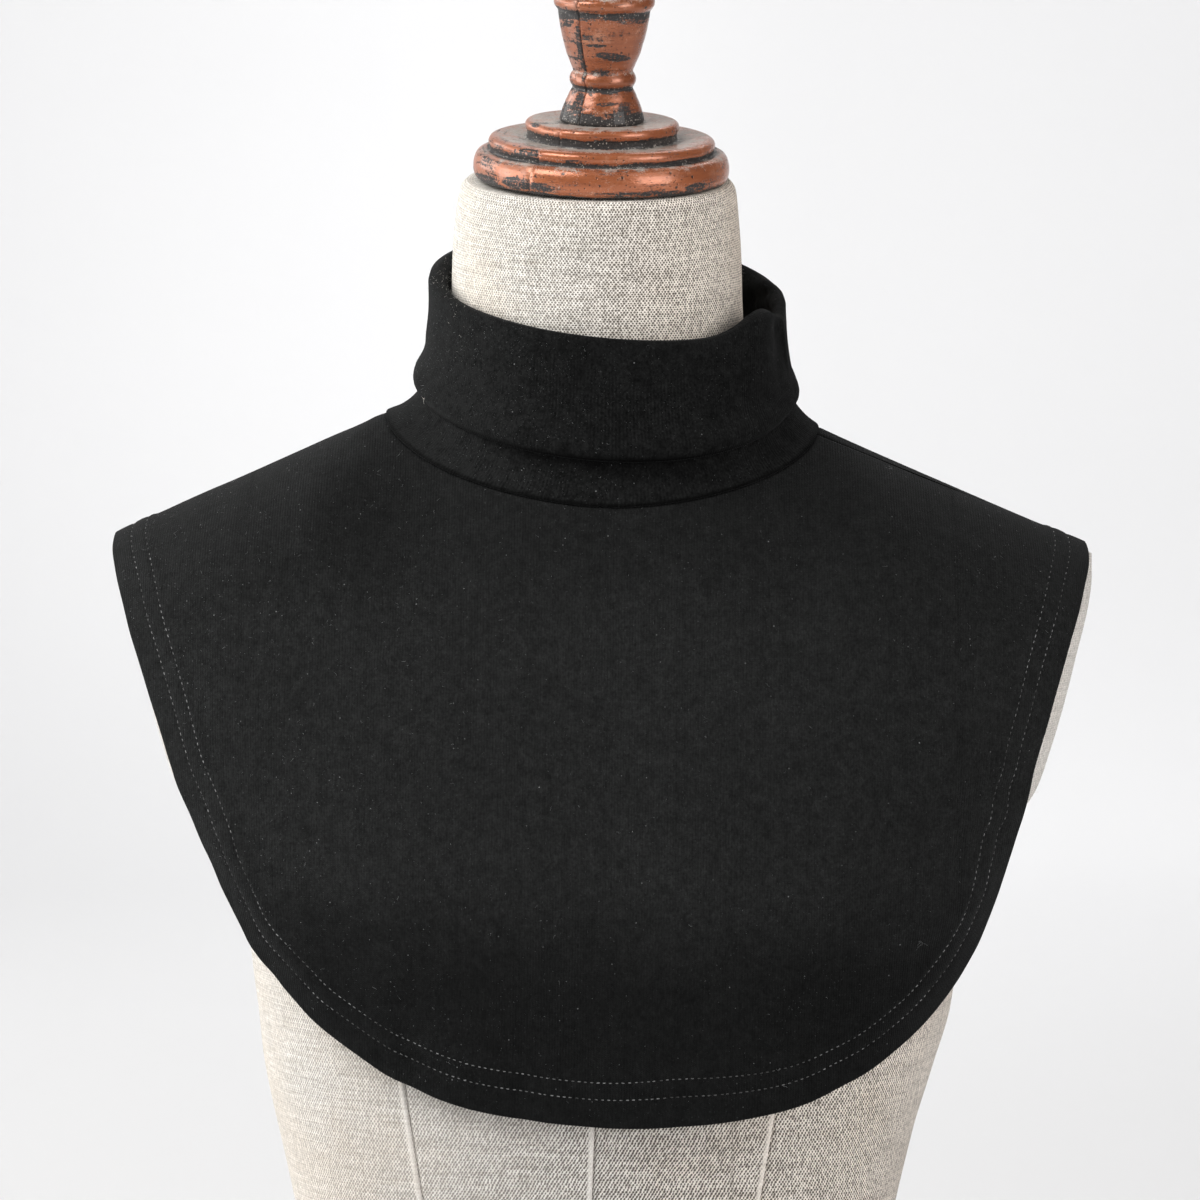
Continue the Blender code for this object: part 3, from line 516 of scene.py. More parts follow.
def add_mesh(name, points, faces, uv=None, **values_at_points):
    mesh = bpy.data.meshes.new(name)
    mesh.from_pydata(np.asarray(points, float).reshape(-1, 3).tolist(), [], faces)
    mesh.update()
    piece = place_in_scene(name, mesh)
    if uv is not None:
        write_map(piece, *np.asarray(uv).reshape(-1, 2)[corner_points(piece)].T)
    for key, values in values_at_points.items():
        attribute = mesh.attributes.new(key, "FLOAT", "POINT")
        attribute.data.foreach_set("value", np.asarray(values, np.float32).ravel())
    mesh.shade_smooth()
    return piece


def quads(rows, columns, wrap_rows=False, wrap_columns=False, offset=0):
    """Quads of a grid of points numbered row by row."""
    i = np.arange(rows if wrap_rows else rows - 1)
    j = np.arange(columns if wrap_columns else columns - 1)
    i, j = np.meshgrid(i, j, indexing="ij")
    i2, j2 = (i + 1) % rows, (j + 1) % columns
    block = np.stack([i * columns + j, i * columns + j2, i2 * columns + j2, i2 * columns + j], -1)
    return (block.reshape(-1, 4) + offset).tolist()


def capped_rings(rows, count):
    """Faces of a stack of rings of points, closed below and above."""
    last = (rows - 1) * count
    return quads(rows, count, wrap_columns=True) + [
        list(range(count - 1, -1, -1)), list(range(last, last + count))]


def rim(low, high, ahead, count):
    """Points of a half round from one edge to another, bulging ahead."""
    middle = (low + high) / 2
    half = (high - low) / 2
    reach = np.linalg.norm(half, axis=-1, keepdims=True)
    out = []
    for k in range(1, count + 1):
        angle = math.pi * k / (count + 1)
        out.append(middle - half * math.cos(angle) + ahead * reach * math.sin(angle))
    return out


def unit(vectors):
    return vectors / np.maximum(np.linalg.norm(vectors, axis=-1, keepdims=True), 1e-12)


# ---------------------------------------------------------------- the bibs

HEM_ROWS = np.array([
    24.0, 20.0, 18.2, 17.3, 16.8, 16.4, 16.0, 15.4, 13.6, 11.6, 10.8, 10.4, 10.0, 9.6, 9.0, 7.0,
    4.5, 2.6, 1.3, 0.5, 0.0,
]) * MM
NECK_ROWS = np.array([0.0, 0.35, 0.8, 1.4, 2.2, 3.4, 5.0]) * MM
STITCH_ROWS = (10.0 * MM, 16.4 * MM)
STITCH_PITCH = 2.4 * MM


HEM_SHIFT = (                             # height of the hem, how much narrower it is sewn, mm
    (0.190, 0.0), (0.225, 0.5), (0.260, 1.6), (0.330, 1.8), (0.389, 1.6), (0.413, 2.3),
    (0.424, 3.0), (0.436, 5.4),
)


def bib_rows(length, narrower, middle_rows):
    """Distances from the neckline along a ray of this length."""
    hem = HEM_ROWS - narrower * smooth_mm(0, 7, HEM_ROWS)
    middle = np.linspace(NECK_ROWS[-1], length - hem[0], middle_rows + 2)[1:-1]
    return np.concatenate([NECK_ROWS, middle, length - hem])


def ray_places(starts, ends, share):
    """Places from starts to ends, straight on cloth whose ridge is rounded at its middle."""
    def flatten(places):
        lower = shoulder_height(places[:, 0]) - shoulder_height(places[:, 0], soft=True)
        return np.sign(places[:, 1]) * wrap_of(drop_of(places[:, 1]) - lower)

    x = starts[:, None, 0] * (1 - share) + ends[:, None, 0] * share
    soft = flatten(starts)[:, None] * (1 - share) + flatten(ends)[:, None] * share
    lower = shoulder_height(x) - shoulder_height(x, soft=True)
    return np.stack([x, np.sign(soft) * wrap_of(drop_of(soft) + lower)], axis=-1)


LAY = (5, 6)                              # seeds of the slow waves, of the front and the back
HEM_LAY = (11, 12)
# painted shade where the cloth enters the neckline
NECKLINE_PAINTED_SHADE = 0.7                          # how dark the cloth is where it enters the neckline
BARE_WALL = 1.25 * MM
RIM_POINTS = (4, 2)                       # round the hem and round the neckline


def bib_relief(base, run, to_hem, to_side, share, side, creases):
    """Height of a bib's folds and seams, the painted shade along its seams, and its lap."""
    back = side < 0
    lift = relief(base, creases) * smooth_mm(0, 9, run) * smooth_mm(0.5, 8, to_side)
    lift = lift * (1 - 0.55 * smooth_mm(10, 1, to_hem))
    lift += 0.22 * MM * unevenness(base, 0.05, LAY[back]) * smooth_mm(0, 12, run)
    hem_wave = unevenness(base, 0.032, HEM_LAY[back])
    lift += 0.45 * MM * hem_wave * smooth_mm(26, 2, to_hem) * smooth_mm(0, 30, to_side)
    # the seams at the shoulders: a proud lip, and on the lying panel a gully under it
    at_left = base[..., 0] > 0
    on_lap = np.where(at_left, back, not back) * smoothstep(1.0, 0.8, share)
    proud = at_left * (not back)
    lift += 0.30 * MM * bell(to_side, 2.2, 1.3) * (1 - on_lap) * (1 - proud)
    lift += 0.12 * MM * bell(to_side, 1.0, 1.2) * proud
    lift -= np.where(at_left, 0.42, 0.80) * MM * bell(to_side, 0, 1.5) * on_lap
    # painted shade: the cloth is darkened close to the shoulder seams, wider on the lapped panel,
    # and where it enters the neckline
    reach = np.where(at_left, 3.5, 1.5) * MM
    in_seam = np.maximum(smoothstep(1.4, 0.9, to_side / reach) * on_lap,
                         smooth_mm(1.5, 0.5, to_side + 1.2 * MM * proud))
    in_seam = np.maximum(in_seam, NECKLINE_PAINTED_SHADE * smooth_mm(0.5, 0.05, run))
    return lift, in_seam, proud, at_left * on_lap


def bib_wall(run, to_hem, to_side, along_hem, proud, lapped):
    """Thickness of a bib: double at the hem, drawn in by its stitches and at the seams."""
    wall = np.full(run.shape, BARE_WALL)
    wall += 0.75 * MM * smooth_mm(21, 17.2, to_hem)
    pucker = 0.75 + 0.25 * np.sin(along_hem[:, None] / STITCH_PITCH * math.pi)
    for place in STITCH_ROWS:
        wall -= 0.34 * MM * pucker * bell(to_hem - place, 0, 0.75)
    wall += 0.18 * MM * bell(to_hem, 13.2, 1.8)
    side_tuck = bell(to_side, 0, 1.25) * (1 - 0.7 * proud) * (1 - 0.6 * lapped)
    return wall - 0.80 * MM * np.maximum(0.7 * bell(run, 0, 0.9), side_tuck)


def around(values):
    """Values of a shell's outer rows, repeated on its rims and its inner rows."""
    hem, neck_edge = RIM_POINTS
    return np.concatenate([values, *[values[:, -1:]] * hem, values[:, ::-1],
                           *[values[:, :1]] * neck_edge], axis=1)


def shell(outer, inner, ahead, behind, side):
    """Points and faces of a closed shell: outer side, hem, inner side, neckline, two ends."""
    hem, neck_edge = RIM_POINTS
    rows = outer.shape[1]
    ring = [outer[:, k] for k in range(rows)]
    ring += rim(outer[:, -1], inner[:, -1], ahead, hem)
    ring += [inner[:, k] for k in range(rows - 1, -1, -1)]
    ring += rim(inner[:, 0], outer[:, 0], behind, neck_edge)
    points = np.stack(ring, axis=1)
    count = points.shape[1]
    faces = quads(points.shape[0], count, wrap_columns=True)
    if side > 0:
        faces = [face[::-1] for face in faces]
    for end, turn in ((0, 1), (points.shape[0] - 1, -1)):
        first = end * count
        outer_side = [first + k for k in range(rows)]
        inner_side = [first + 2 * rows + hem - 1 - k for k in range(rows)]
        caps = [[outer_side[k], inner_side[k], inner_side[k + 1], outer_side[k + 1]]
                for k in range(rows - 1)]
        caps.append([outer_side[-1], inner_side[-1]]
                    + [first + rows + hem - 1 - k for k in range(hem)])
        caps.append([inner_side[0], outer_side[0]]
                    + [first + count - 1 - k for k in range(neck_edge)])
        faces += [cap if turn * side < 0 else cap[::-1] for cap in caps]
    return points, faces


def bib(name, neck_path, hem, side, columns, middle_rows, creases):
    """A fine shell of one bib.  Gives the object, its outer grid and the normals of that."""
    share = np.linspace(0, 1, columns + 1)
    starts = resample(neck_path, cloth_points, share)
    eased = share - 0.55 * np.sin(2 * math.pi * share) / (2 * math.pi)
    ends = resample(hem, cloth_points, eased)
    tips = cloth_points(ends)
    length = np.linalg.norm(tips - cloth_points(starts), axis=1)
    narrower = column(HEM_SHIFT, 1, np.clip(tips[:, 2], HEM_SHIFT[0][0], HEM_SHIFT[-1][0])) * MM
    run = np.stack([bib_rows(x, less, middle_rows) for x, less in zip(length, narrower)])
    t = run / length[:, None]
    places = ray_places(starts, ends, t)
    places[..., 1] += side * 0.2 * SEAM_GAP
    base = cloth_points(places)
    out = base - np.array([0.0, RIDGE_Y, 0.40])
    out[..., 0] *= 0.6
    normal = grid_normals(base, out)
    to_hem = length[:, None] - run
    to_hem[:, -len(HEM_ROWS):] = HEM_ROWS
    to_hem[:, :-len(HEM_ROWS)] += narrower[:, None]
    seam, along_hem = run_length(cloth_points(starts)), run_length(base[:, -1])
    at_neck, at_hem = (np.minimum(line, line[-1] - line)[:, None] for line in (seam, along_hem))
    to_side = (at_neck + run * 0.12) * (1 - t) + at_hem * t
    lift, in_seam, proud, lapped = bib_relief(base, run, to_hem, to_side, t, side, creases)
    wall = bib_wall(run, to_hem, to_side, along_hem, proud, lapped)
    outer = base + normal * np.maximum(wall + lift, 0.35 * MM)[..., None]
    inner = base + normal * np.clip(lift, 0.0, None)[..., None]
    points, faces = shell(outer, inner, unit(base[:, -1] - base[:, -3]),
                          unit(base[:, 0] - base[:, 2]), side)
    piece = add_mesh(name, points, faces, around(flat_place(places, side)),
                     in_seam=around(in_seam))
    return piece, outer, normal


def along_neckline(places):
    """At places round the neckline: the point, and the ways onward, outward, down and off it."""
    point = cloth_points(places)
    onward = unit(np.roll(point, -1, axis=0) - np.roll(point, 1, axis=0))
    outward = unit((point - np.array([COLLAR_SHIFT, RIDGE_Y, 0.0])) * np.array([1.0, 1.0, 0.0]))
    shift = np.stack([outward[:, 0], -outward[:, 1]], axis=1) * 4 * MM
    down = unit(cloth_points(places + shift) - point)
    face = unit(np.cross(onward, down))
    sign = np.sum(face * outward, axis=1) + face[:, 2]
    return point, onward, outward, down, np.where((sign > 0)[:, None], face, -face)


def neckline_seam(name, count):
    """The turned-in edges that close the neckline under the stand: a flat cord in the seam."""
    ring = neckline()
    ring = np.concatenate([ring, ring[:1]])
    places = resample(ring, cloth_points, np.linspace(0, 1, count + 1))[:-1]
    point, _, _, down, face = along_neckline(places)
    rows = []
    for k in range(8):
        turn = 2 * math.pi * k / 8
        rows.append(point + down * 0.9 * MM * math.cos(turn)
                    + face * (0.18 * MM + 0.40 * MM * math.sin(turn)))
    run = run_length(point)
    uv = np.stack(np.meshgrid(np.arange(8) * 0.4 * MM, run, indexing="ij")[::-1], axis=-1)
    return add_mesh(name, np.stack(rows), quads(8, count, True, True), uv)


def stitches(name, rows_of_points, pitch, length, radius, seed):
    """A run of separate thread stitches lying along lines of (point, normal)."""
    rng = np.random.default_rng(seed)
    sides, rings = 6, 5
    verts, faces, uv = [], [], []
    for points, normals in rows_of_points:
        run = run_length(points * np.array([1.0, 0.35, 1.0]))
        count = int(run[-1] / pitch)
        places = (np.arange(count) + 0.5) * run[-1] / count
        places = places + rng.normal(0, 0.05 * pitch, count)
        here, ahead, behind, up = (
            np.stack([np.interp(at, run, values[:, k]) for k in range(3)], 1)
            for at, values in ((places, points), (places + 0.3 * MM, points),
                               (places - 0.3 * MM, points), (places, normals)))
        up = unit(up)
        along = unit(ahead - behind)
        over = unit(np.cross(along, up))
        for p, a, n, o in zip(here, along, up, over):
            size = length * rng.uniform(0.88, 1.06)
            twist = rng.normal(0, 0.06)
            a = unit(a + o * twist)
            first = len(verts)
            for r in range(rings):
                s = r / (rings - 1) * 2 - 1
                swell = math.sqrt(max(0.0, 1 - abs(s) ** 2.6)) * radius + 0.03 * MM
                arch = -0.30 * MM * abs(s) ** 3
                centre = p + a * (s * size / 2) + n * (arch + radius * 0.35)
                for k in range(sides):
                    angle = 2 * math.pi * k / sides
                    verts.append(centre + (o * math.cos(angle) + n * math.sin(angle) * 0.8) * swell)
                    uv.append((s, k / sides))
            faces += quads(rings, sides, wrap_columns=True, offset=first)
            faces.append([first + k for k in range(sides)])
            faces.append([first + (rings - 1) * sides + k for k in range(sides - 1, -1, -1)])
    return add_mesh(name, np.array(verts), faces, np.array(uv))


# ---------------------------------------------------------------- the collar

def collar_ring(row, count):
    half_width, front_y, back_y, front_z, side_z, back_z, lean = row
    angle = 2 * math.pi * np.arange(count) / count
    s = np.sin(angle)
    x = COLLAR_SHIFT + half_width * np.cos(angle)
    dip = 0.5 * (front_z + back_z) - side_z
    height = side_z + 0.5 * (front_z - back_z) * s + dip * s * s - lean * x
    y = 0.5 * (front_y + back_y) - 0.5 * (back_y - front_y) * s
    return np.stack([x, y, height], axis=1)


def collar_foot(first_ring, count):
    ring = neckline()
    ring = np.concatenate([ring, ring[:1]])
    half = SAMPLES // 2
    share = np.linspace(0, 1, count // 2 + 1)
    front = resample(ring[:half + 1], cloth_points, share)
    back = resample(ring[half:], cloth_points, share)
    point, onward, outward, down, face = along_neckline(np.concatenate([front[:-1], back[:-1]]))
    rise = unit(first_ring - point)
    wall = unit(np.cross(onward, rise))
    wall = np.where((np.sum(wall * outward, axis=1) > 0)[:, None], wall, -wall)
    inset = 0.30 * SEAM_GAP + 0.5 * COLLAR_WALL * np.maximum(0.0, np.sum(wall * down, axis=1))
    lift = 0.5 * COLLAR_WALL * np.sum(wall * face, axis=1) + FOOT_LIFT
    return point - down * inset[:, None] + face * lift[:, None]


def collar_rings(count):
    """The part's rings of the strip's middle, from the foot over the roll to the flap's edge."""
    stand = [collar_ring(row, count) for row in STAND_RINGS]
    flap = [collar_ring(row, count) for row in FLAP_RINGS]
    foot = collar_foot(stand[0], count)
    rings = [foot]
    at_side = np.cos(2 * math.pi * np.arange(count) / count) ** 2
    at_left = smoothstep(-0.2, 0.2, np.cos(2 * math.pi * np.arange(count) / count))
    inward, upward = (a + ((b - c) * at_left + c - a) * at_side
                      for a, b, c in zip(FOOT_BEND, LEFT_BEND, RIGHT_BEND))
    for t in (0.22, 0.50, 0.78):
        bend = stand[0] + inward[:, None] * (foot - stand[0])
        bend[:, 2] = foot[:, 2] + upward * (stand[0][:, 2] - foot[:, 2])
        rings.append((1 - t) ** 2 * foot + 2 * t * (1 - t) * bend + t * t * stand[0])
    rings += stand
    for turn in (30, 60, 90, 120, 150):
        angle = math.radians(turn)
        middle = (stand[-1] + flap[0]) / 2
        half = (flap[0] - stand[-1]) / 2
        radius = np.linalg.norm(half, axis=1)
        ring = middle - half * math.cos(angle)
        ring[:, 2] += radius * math.sin(angle)
        rings.append(ring)
    rings += flap
    for k, ring in enumerate(rings):
        ring[:, 0] += FLAP_SHIFT * min(1.0, max(0.0, (k - 3) / 5))
    return rings, len(rings) - len(flap) - 3


COLLAR_CREASES = (                       # arc and way down from the roll, twice; reach, height, mm
    (-0.0265, -0.004, -0.0460, -0.014, 3.4, -1.4), (-0.0040, -0.005, -0.0170, -0.0085, 2.6, -1.2),
    (-0.0170, -0.0085, -0.0300, -0.0150, 2.6, -1.1), (-0.0160, -0.004, -0.0330, -0.0115, 3.0, 0.9),
    (0.0215, 0.006, 0.0140, 0.026, 5.0, -0.8), (0.0300, 0.032, 0.0080, 0.0295, 2.6, -0.4),
    (0.0340, 0.0375, 0.0110, 0.0345, 2.4, -0.35), (0.0560, 0.030, 0.0300, 0.024, 7.0, -0.35),
    (-0.1750, 0.012, -0.1400, 0.020, 7.0, -0.4), (0.1850, 0.016, 0.1560, 0.030, 6.5, -0.5),
    (0.1300, 0.012, 0.1050, 0.024, 8.0, 0.4), (-0.0700, 0.010, -0.0560, 0.030, 7.0, -0.5),
    (-0.1150, 0.014, -0.0980, 0.034, 8.0, 0.45), (0.0150, 0.003, 0.0125, 0.028, 1.8, 0.60),
    (0.0105, 0.006, 0.0090, 0.022, 1.5, -0.30),
)


COLLAR_WAVES = (                         # degrees round (0 left, 90 front), reach, height in mm
    (20, 17, 0.7), (-4, 9, -1.1), (160, 16, 0.9), (135, 12, -0.5), (108, 16, 0.5),
    (68, 17, 1.0), (220, 17, 0.6), (250, 13, -0.6), (285, 15, 0.5), (320, 12, -0.5),
)


def collar_lie(middle, along, down, degrees):
    """Swells, pinches and creases of the strip's middle surface; down is from the flap's top."""
    on_flap = smooth_mm(-2, 4, down)[:, None]
    from_edge = (along[-1] - along)[:, None]
    out = middle - np.array([COLLAR_SHIFT, 0.004, 0.0])
    out[..., 2] = 0.0
    out = unit(out)
    lift = np.zeros(middle.shape[:2])

    def near(*swells):
        """Sum of soft swells round the neck, each as degrees round, reach and height."""
        gaps = [((degrees - centre + 180) % 360 - 180) / reach for centre, reach, _ in swells]
        return sum(swell[2] * np.exp(-gap ** 2) for gap, swell in zip(gaps, swells))

    # the flap swells towards its free edge and waves a little round the neck
    lift += on_flap * near(*COLLAR_WAVES) * MM * (0.35 + 0.65 * bell(from_edge, 0, 14))
    lift += on_flap * 0.9 * MM * bell(from_edge, 5, 4.5)
    lift -= on_flap * 1.7 * MM * near((0, 34, 1), (180, 38, 1)) * bell(from_edge, 0, 2.4)
    lift -= on_flap * 0.6 * MM * near((182, 30, 1)) * bell(from_edge, 15, 4.5)
    lift += on_flap * 0.6 * MM * near((182, 30, 1)) * bell(from_edge, 6.5, 3.5)
    # the roll is pinched where it turns the corner at the garment's left
    top = bell(down, -2, 11)[:, None]
    upper = bell(down, 7, 17)[:, None] * on_flap
    lift += top * MM * near((7, 11, -1.3), (35, 10, 0.5), (188, 30, 1.0))
    lift += upper * MM * near((36, 10, 1.4), (20, 6, -1.9), (3, 9, -0.5))
    # ... and comes close to the neck at the garment's right and in the lobe beside the pinch
    inner = (smooth_mm(-28, -7, down) * smooth_mm(-0.2, -4.6, down))[:, None]
    lift -= inner * MM * near((186, 40, 3.5), (30, 12, 2.6))
    # the turned-down edge is drawn up and in at the garment's left
    down_flap = np.clip(down / down[-1], 0.0, 1.0)[:, None]
    lift -= 1.5 * MM * near((0, 34, 1)) * down_flap ** 1.5
    arc = ((degrees + 180) % 360 - 180) * 1.2 * MM + 0 * along[:, None]
    folds = np.stack([arc, 0 * arc, down[:, None] + 0 * arc], axis=-1)
    lift += relief(folds, COLLAR_CREASES)
    lift += 0.25 * MM * unevenness(middle, 0.045, 21) * np.where(on_flap > 0.5, 1.0, 0.4)
    middle = middle + out * lift[..., None]
    rise = MM * top * near((32, 14, 6.2), (12, 8, -1.8), (150, 14, -0.5))
    rise += 4.6 * MM * near((0, 38, 1)) * down_flap ** 1.4
    rise += bell(down, -2.3, 2.6)[:, None] * MM * near((186, 40, 1.1), (30, 12, 0.8))
    middle[..., 2] += rise
    return middle, out


def collar_painted_shade(rows_v, along, down, degrees):
    """Painted shade at the foot's seam and along the flap's free edge; below zero it is painted
    light.
    """
    # painted shade at the foot's seam and along the flap's free edge
    in_seam = 0.7 * smooth_mm(0.6, 0.1, rows_v) + 1.15 * bell(along[-1] - rows_v, 0, 1.1)
    in_seam = np.repeat(in_seam[:, None], len(degrees), axis=1)
    # painted light: the stand's outer side is paler just above its foot
    in_seam[:len(along)] -= 0.13 * (smooth_mm(15, 6, along) * smooth_mm(0.6, 2, along))[:, None]
    # painted light: the strip's inner side below the roll is paler at the garment's left
    paler = smooth_mm(-34, -16, down[::-1]) * smooth_mm(-1, -5, down[::-1])
    first = len(along) + RIM_POINTS[0]
    at_left = np.exp(-(((degrees + 180) % 360 - 180) / 62) ** 2)
    in_seam[first:first + len(along)] -= paler[:, None] * at_left
    return in_seam


def collar(name, count, fine):
    """The strip as a closed shell; angles run from the garment's left round the front."""
    rings, roll = collar_rings(count)
    rings = np.stack(rings)                                   # ring, angle, xyz
    steps = np.linalg.norm(np.diff(rings, axis=0), axis=2).mean(axis=1)
    run = np.concatenate([[0.0], np.cumsum(steps)])
    share = np.linspace(0, 1, int(run[-1] / (1.5 * MM if fine else 3.0 * MM)) + 1)
    along = (share - 0.35 * np.sin(2 * math.pi * share) / (2 * math.pi)) * run[-1]
    down = along - run[roll + 1]
    angle = 2 * math.pi * np.arange(count) / count
    degrees = np.degrees(angle)
    middle = spline(rings, np.interp(along, run, np.arange(len(run))))
    middle, out = collar_lie(middle, along, down, degrees[None, :])

    wrapped = np.concatenate([middle[:, -1:], middle, middle[:, :1]], axis=1)
    du = np.gradient(wrapped, axis=0)[:, 1:-1]
    dv = np.gradient(wrapped, axis=1)[:, 1:-1]
    normal = unit(np.cross(du, dv))
    normal = normal if np.sum(normal[2] * out[2]) > 0 else -normal     # outer side of the stand
    half = (0.5 * COLLAR_WALL - 0.22 * MM * bell(along, 0, 1.2))[:, None, None]
    right_side = middle + normal * half
    left_side = middle - normal * half
    ahead, behind = unit(middle[-1] - middle[-2]), unit(middle[0] - middle[1])
    ring = list(right_side) + rim(right_side[-1], left_side[-1], ahead, RIM_POINTS[0])
    ring += list(left_side[::-1]) + rim(left_side[0], right_side[0], behind, RIM_POINTS[1])
    order = np.roll(np.arange(count), -count * 3 // 4)        # start at the middle of the back
    points = np.stack(ring, axis=0)[:, order]
    faces = quads(points.shape[0], count, wrap_rows=True, wrap_columns=True)
    rows_v = around(along[None, :])[0]
    piece = add_mesh(name, points, faces,
                     in_seam=collar_painted_shade(rows_v, along, down, degrees[order]))
    circumference = 2 * math.pi * COLLAR_RADIUS
    write_round_map(piece, *np.meshgrid(angle / (2 * math.pi) * circumference, rows_v),
                    circumference)
    shown = down > -13 * MM
    standing = along < 30 * MM
    return piece, (left_side[shown], -normal[shown]), (right_side[standing], normal[standing])


# ---------------------------------------------------------------- the linen form

SEAM_LINES = {                            # x of each seam at heights 0, .16, .2, .3, .4, .47
    "front": ((-0.052, -0.0665, -0.0725, -0.0840, -0.0720, -0.0500),
              (-0.001, -0.0010, 0.0000, 0.0010, 0.0010, 0.0010),
              (0.052, 0.0638, 0.0695, 0.0820, 0.0720, 0.0500)),
    "back": ((-0.048, -0.0600, -0.0640, -0.0720, -0.0700, -0.0500),
             (0.000, 0.0000, 0.0000, 0.0000, 0.0000, 0.0000),
             (0.048, 0.0600, 0.0640, 0.0720, 0.0700, 0.0500)),
}
SEAM_HEIGHTS = (0.0, 0.161, 0.200, 0.300, 0.400, 0.468)
SEAM_PROFILE = (                          # offset from the seam, height, folded edge
    (-4.0, 0.0, 0.0), (-2.6, 0.05, 0.0), (-2.0, 0.32, 0.6), (-1.5, 0.50, 1.0), (-0.9, 0.54, 1.0),
    (-0.45, 0.30, 1.0), (-0.1, -0.75, 0.2), (0.2, -0.85, 0.0), (0.5, -0.30, 0.0),
    (1.0, 0.05, 0.0), (2.0, 0.0, 0.0),
)


def form_limits(height, shift, half_width):
    ends = []
    for side in (1, -1):
        near, far = 0.0, 0.25
        for _ in range(40):
            middle = 0.5 * (near + far)
            above = shoulder_height(side * middle) - SEAT_GAP > height
            near, far = (middle, far) if above else (near, middle)
        ends.append(near)
    return min(shift + half_width, ends[0]), min(half_width - shift, ends[1])


def form_level(height, between):
    """One level of the trunk, with columns gathered at its seams: points, relief, fold."""
    half_width, front, back, shift = (float(column(FORM_SECTIONS, k, height)) for k in (1, 2, 3, 4))
    right, left = form_limits(height, shift, half_width)
    points, details = [], []
    for side in ("front", "back"):
        depth = front if side == "front" else back
        t = np.linspace(0, math.pi, 1201)
        c, s = np.cos(t), np.sin(t)
        size = (np.abs(c) ** SECTION_POWER + np.abs(s) ** SECTION_POWER) ** (1 / SECTION_POWER)
        xs = 0.5 * (right - left) + 0.5 * (right + left) * c / size
        seams = [float(np.interp(height, SEAM_HEIGHTS, line)) for line in SEAM_LINES[side]]
        stops = []
        for seam in seams[::-1]:
            stops.append([(seam + o * MM, h * MM, f) for o, h, f in SEAM_PROFILE[::-1]])
        line = []
        here = xs[0]
        for stop in stops + [[(xs[-1], 0.0, 0.0)]]:
            ta, tb = np.interp([here, stop[0][0]], xs[::-1], t[::-1])
            line += [(float(np.interp(k, t, xs)), 0.0, 0.0)
                     for k in np.linspace(ta, tb, between)[:-1]]
            line += stop[:-1] if len(stop) > 1 else []
            here = stop[-1][0]
        line = np.array(line)
        if side == "back":
            line = np.concatenate([[[xs[-1], 0.0, 0.0]], line[:0:-1]])
        line_x = line[:, 0]
        drop = shoulder_height(line_x) - SEAT_GAP - height
        reach = depth * across(line_x - shift, half_width)
        reach = reach * roll_over(line_x, drop, side == "front")
        y = RIDGE_Y + (-reach if side == "front" else reach)
        points.append(np.stack([line_x, y, np.full(line_x.shape, height)], axis=1))
        details.append(line[:, 1:])
    return np.concatenate(points), np.concatenate(details)


def torso(name, levels, between):
    rings, details = zip(*[form_level(height, between) for height in levels])
    grid = np.stack(rings)
    details = np.stack(details)
    count = grid.shape[1]
    wrapped = np.concatenate([grid[:, -1:], grid, grid[:, :1]], axis=1)
    dv = np.gradient(grid, axis=0)
    du = np.gradient(wrapped, axis=1)[:, 1:-1]
    normal = unit(np.cross(du, dv))
    out = grid - np.array([0.0, RIDGE_Y, 0.0])
    out[..., 2] = 0.0
    flip = np.sign(np.sum(normal * out, axis=2, keepdims=True))
    normal = normal * np.where(flip == 0, 1.0, flip)
    fade = smoothstep(FORM_TOP_Z, FORM_TOP_Z - 0.02, grid[..., 2])
    grid = grid + normal * (details[..., 0] * fade)[..., None]
    ring_run = np.concatenate([np.zeros((grid.shape[0], 1)), np.cumsum(
        np.linalg.norm(np.diff(grid, axis=1), axis=2), axis=1)], axis=1)
    middle = np.argmin(np.abs(grid[:, :count // 2, 0]), axis=1)
    u = ring_run - ring_run[np.arange(len(ring_run)), middle][:, None]
    v = np.repeat(np.array(levels)[:, None], count, axis=1)
    last_step = np.linalg.norm(grid[:, -1] - grid[:, 0], axis=1)[:, None]
    closing = u[:, :1] + ring_run[:, -1:] + last_step
    points = grid.reshape(-1, 3)
    faces = capped_rings(len(levels), count)
    piece = add_mesh(name, points, faces, folded_edge=details[..., 1])
    index = corner_points(piece)
    flat_u, flat_v = u.ravel()[index], v.ravel()[index]
    body = len(faces) - 2
    flat_u[body * 4:] = points[index[body * 4:], 0]
    flat_v[body * 4:] = points[index[body * 4:], 1]
    block = flat_u[:body * 4].reshape(-1, 4)
    rows_of = (index[:body * 4].reshape(-1, 4) // count)
    column_of = index[:body * 4].reshape(-1, 4) % count
    last = (column_of.max(axis=1) == count - 1) & (column_of.min(axis=1) == 0)
    fixed = np.where((column_of == 0) & last[:, None], closing[rows_of, 0], block)
    flat_u[:body * 4] = fixed.ravel()
    write_map(piece, flat_u, flat_v)
    return piece


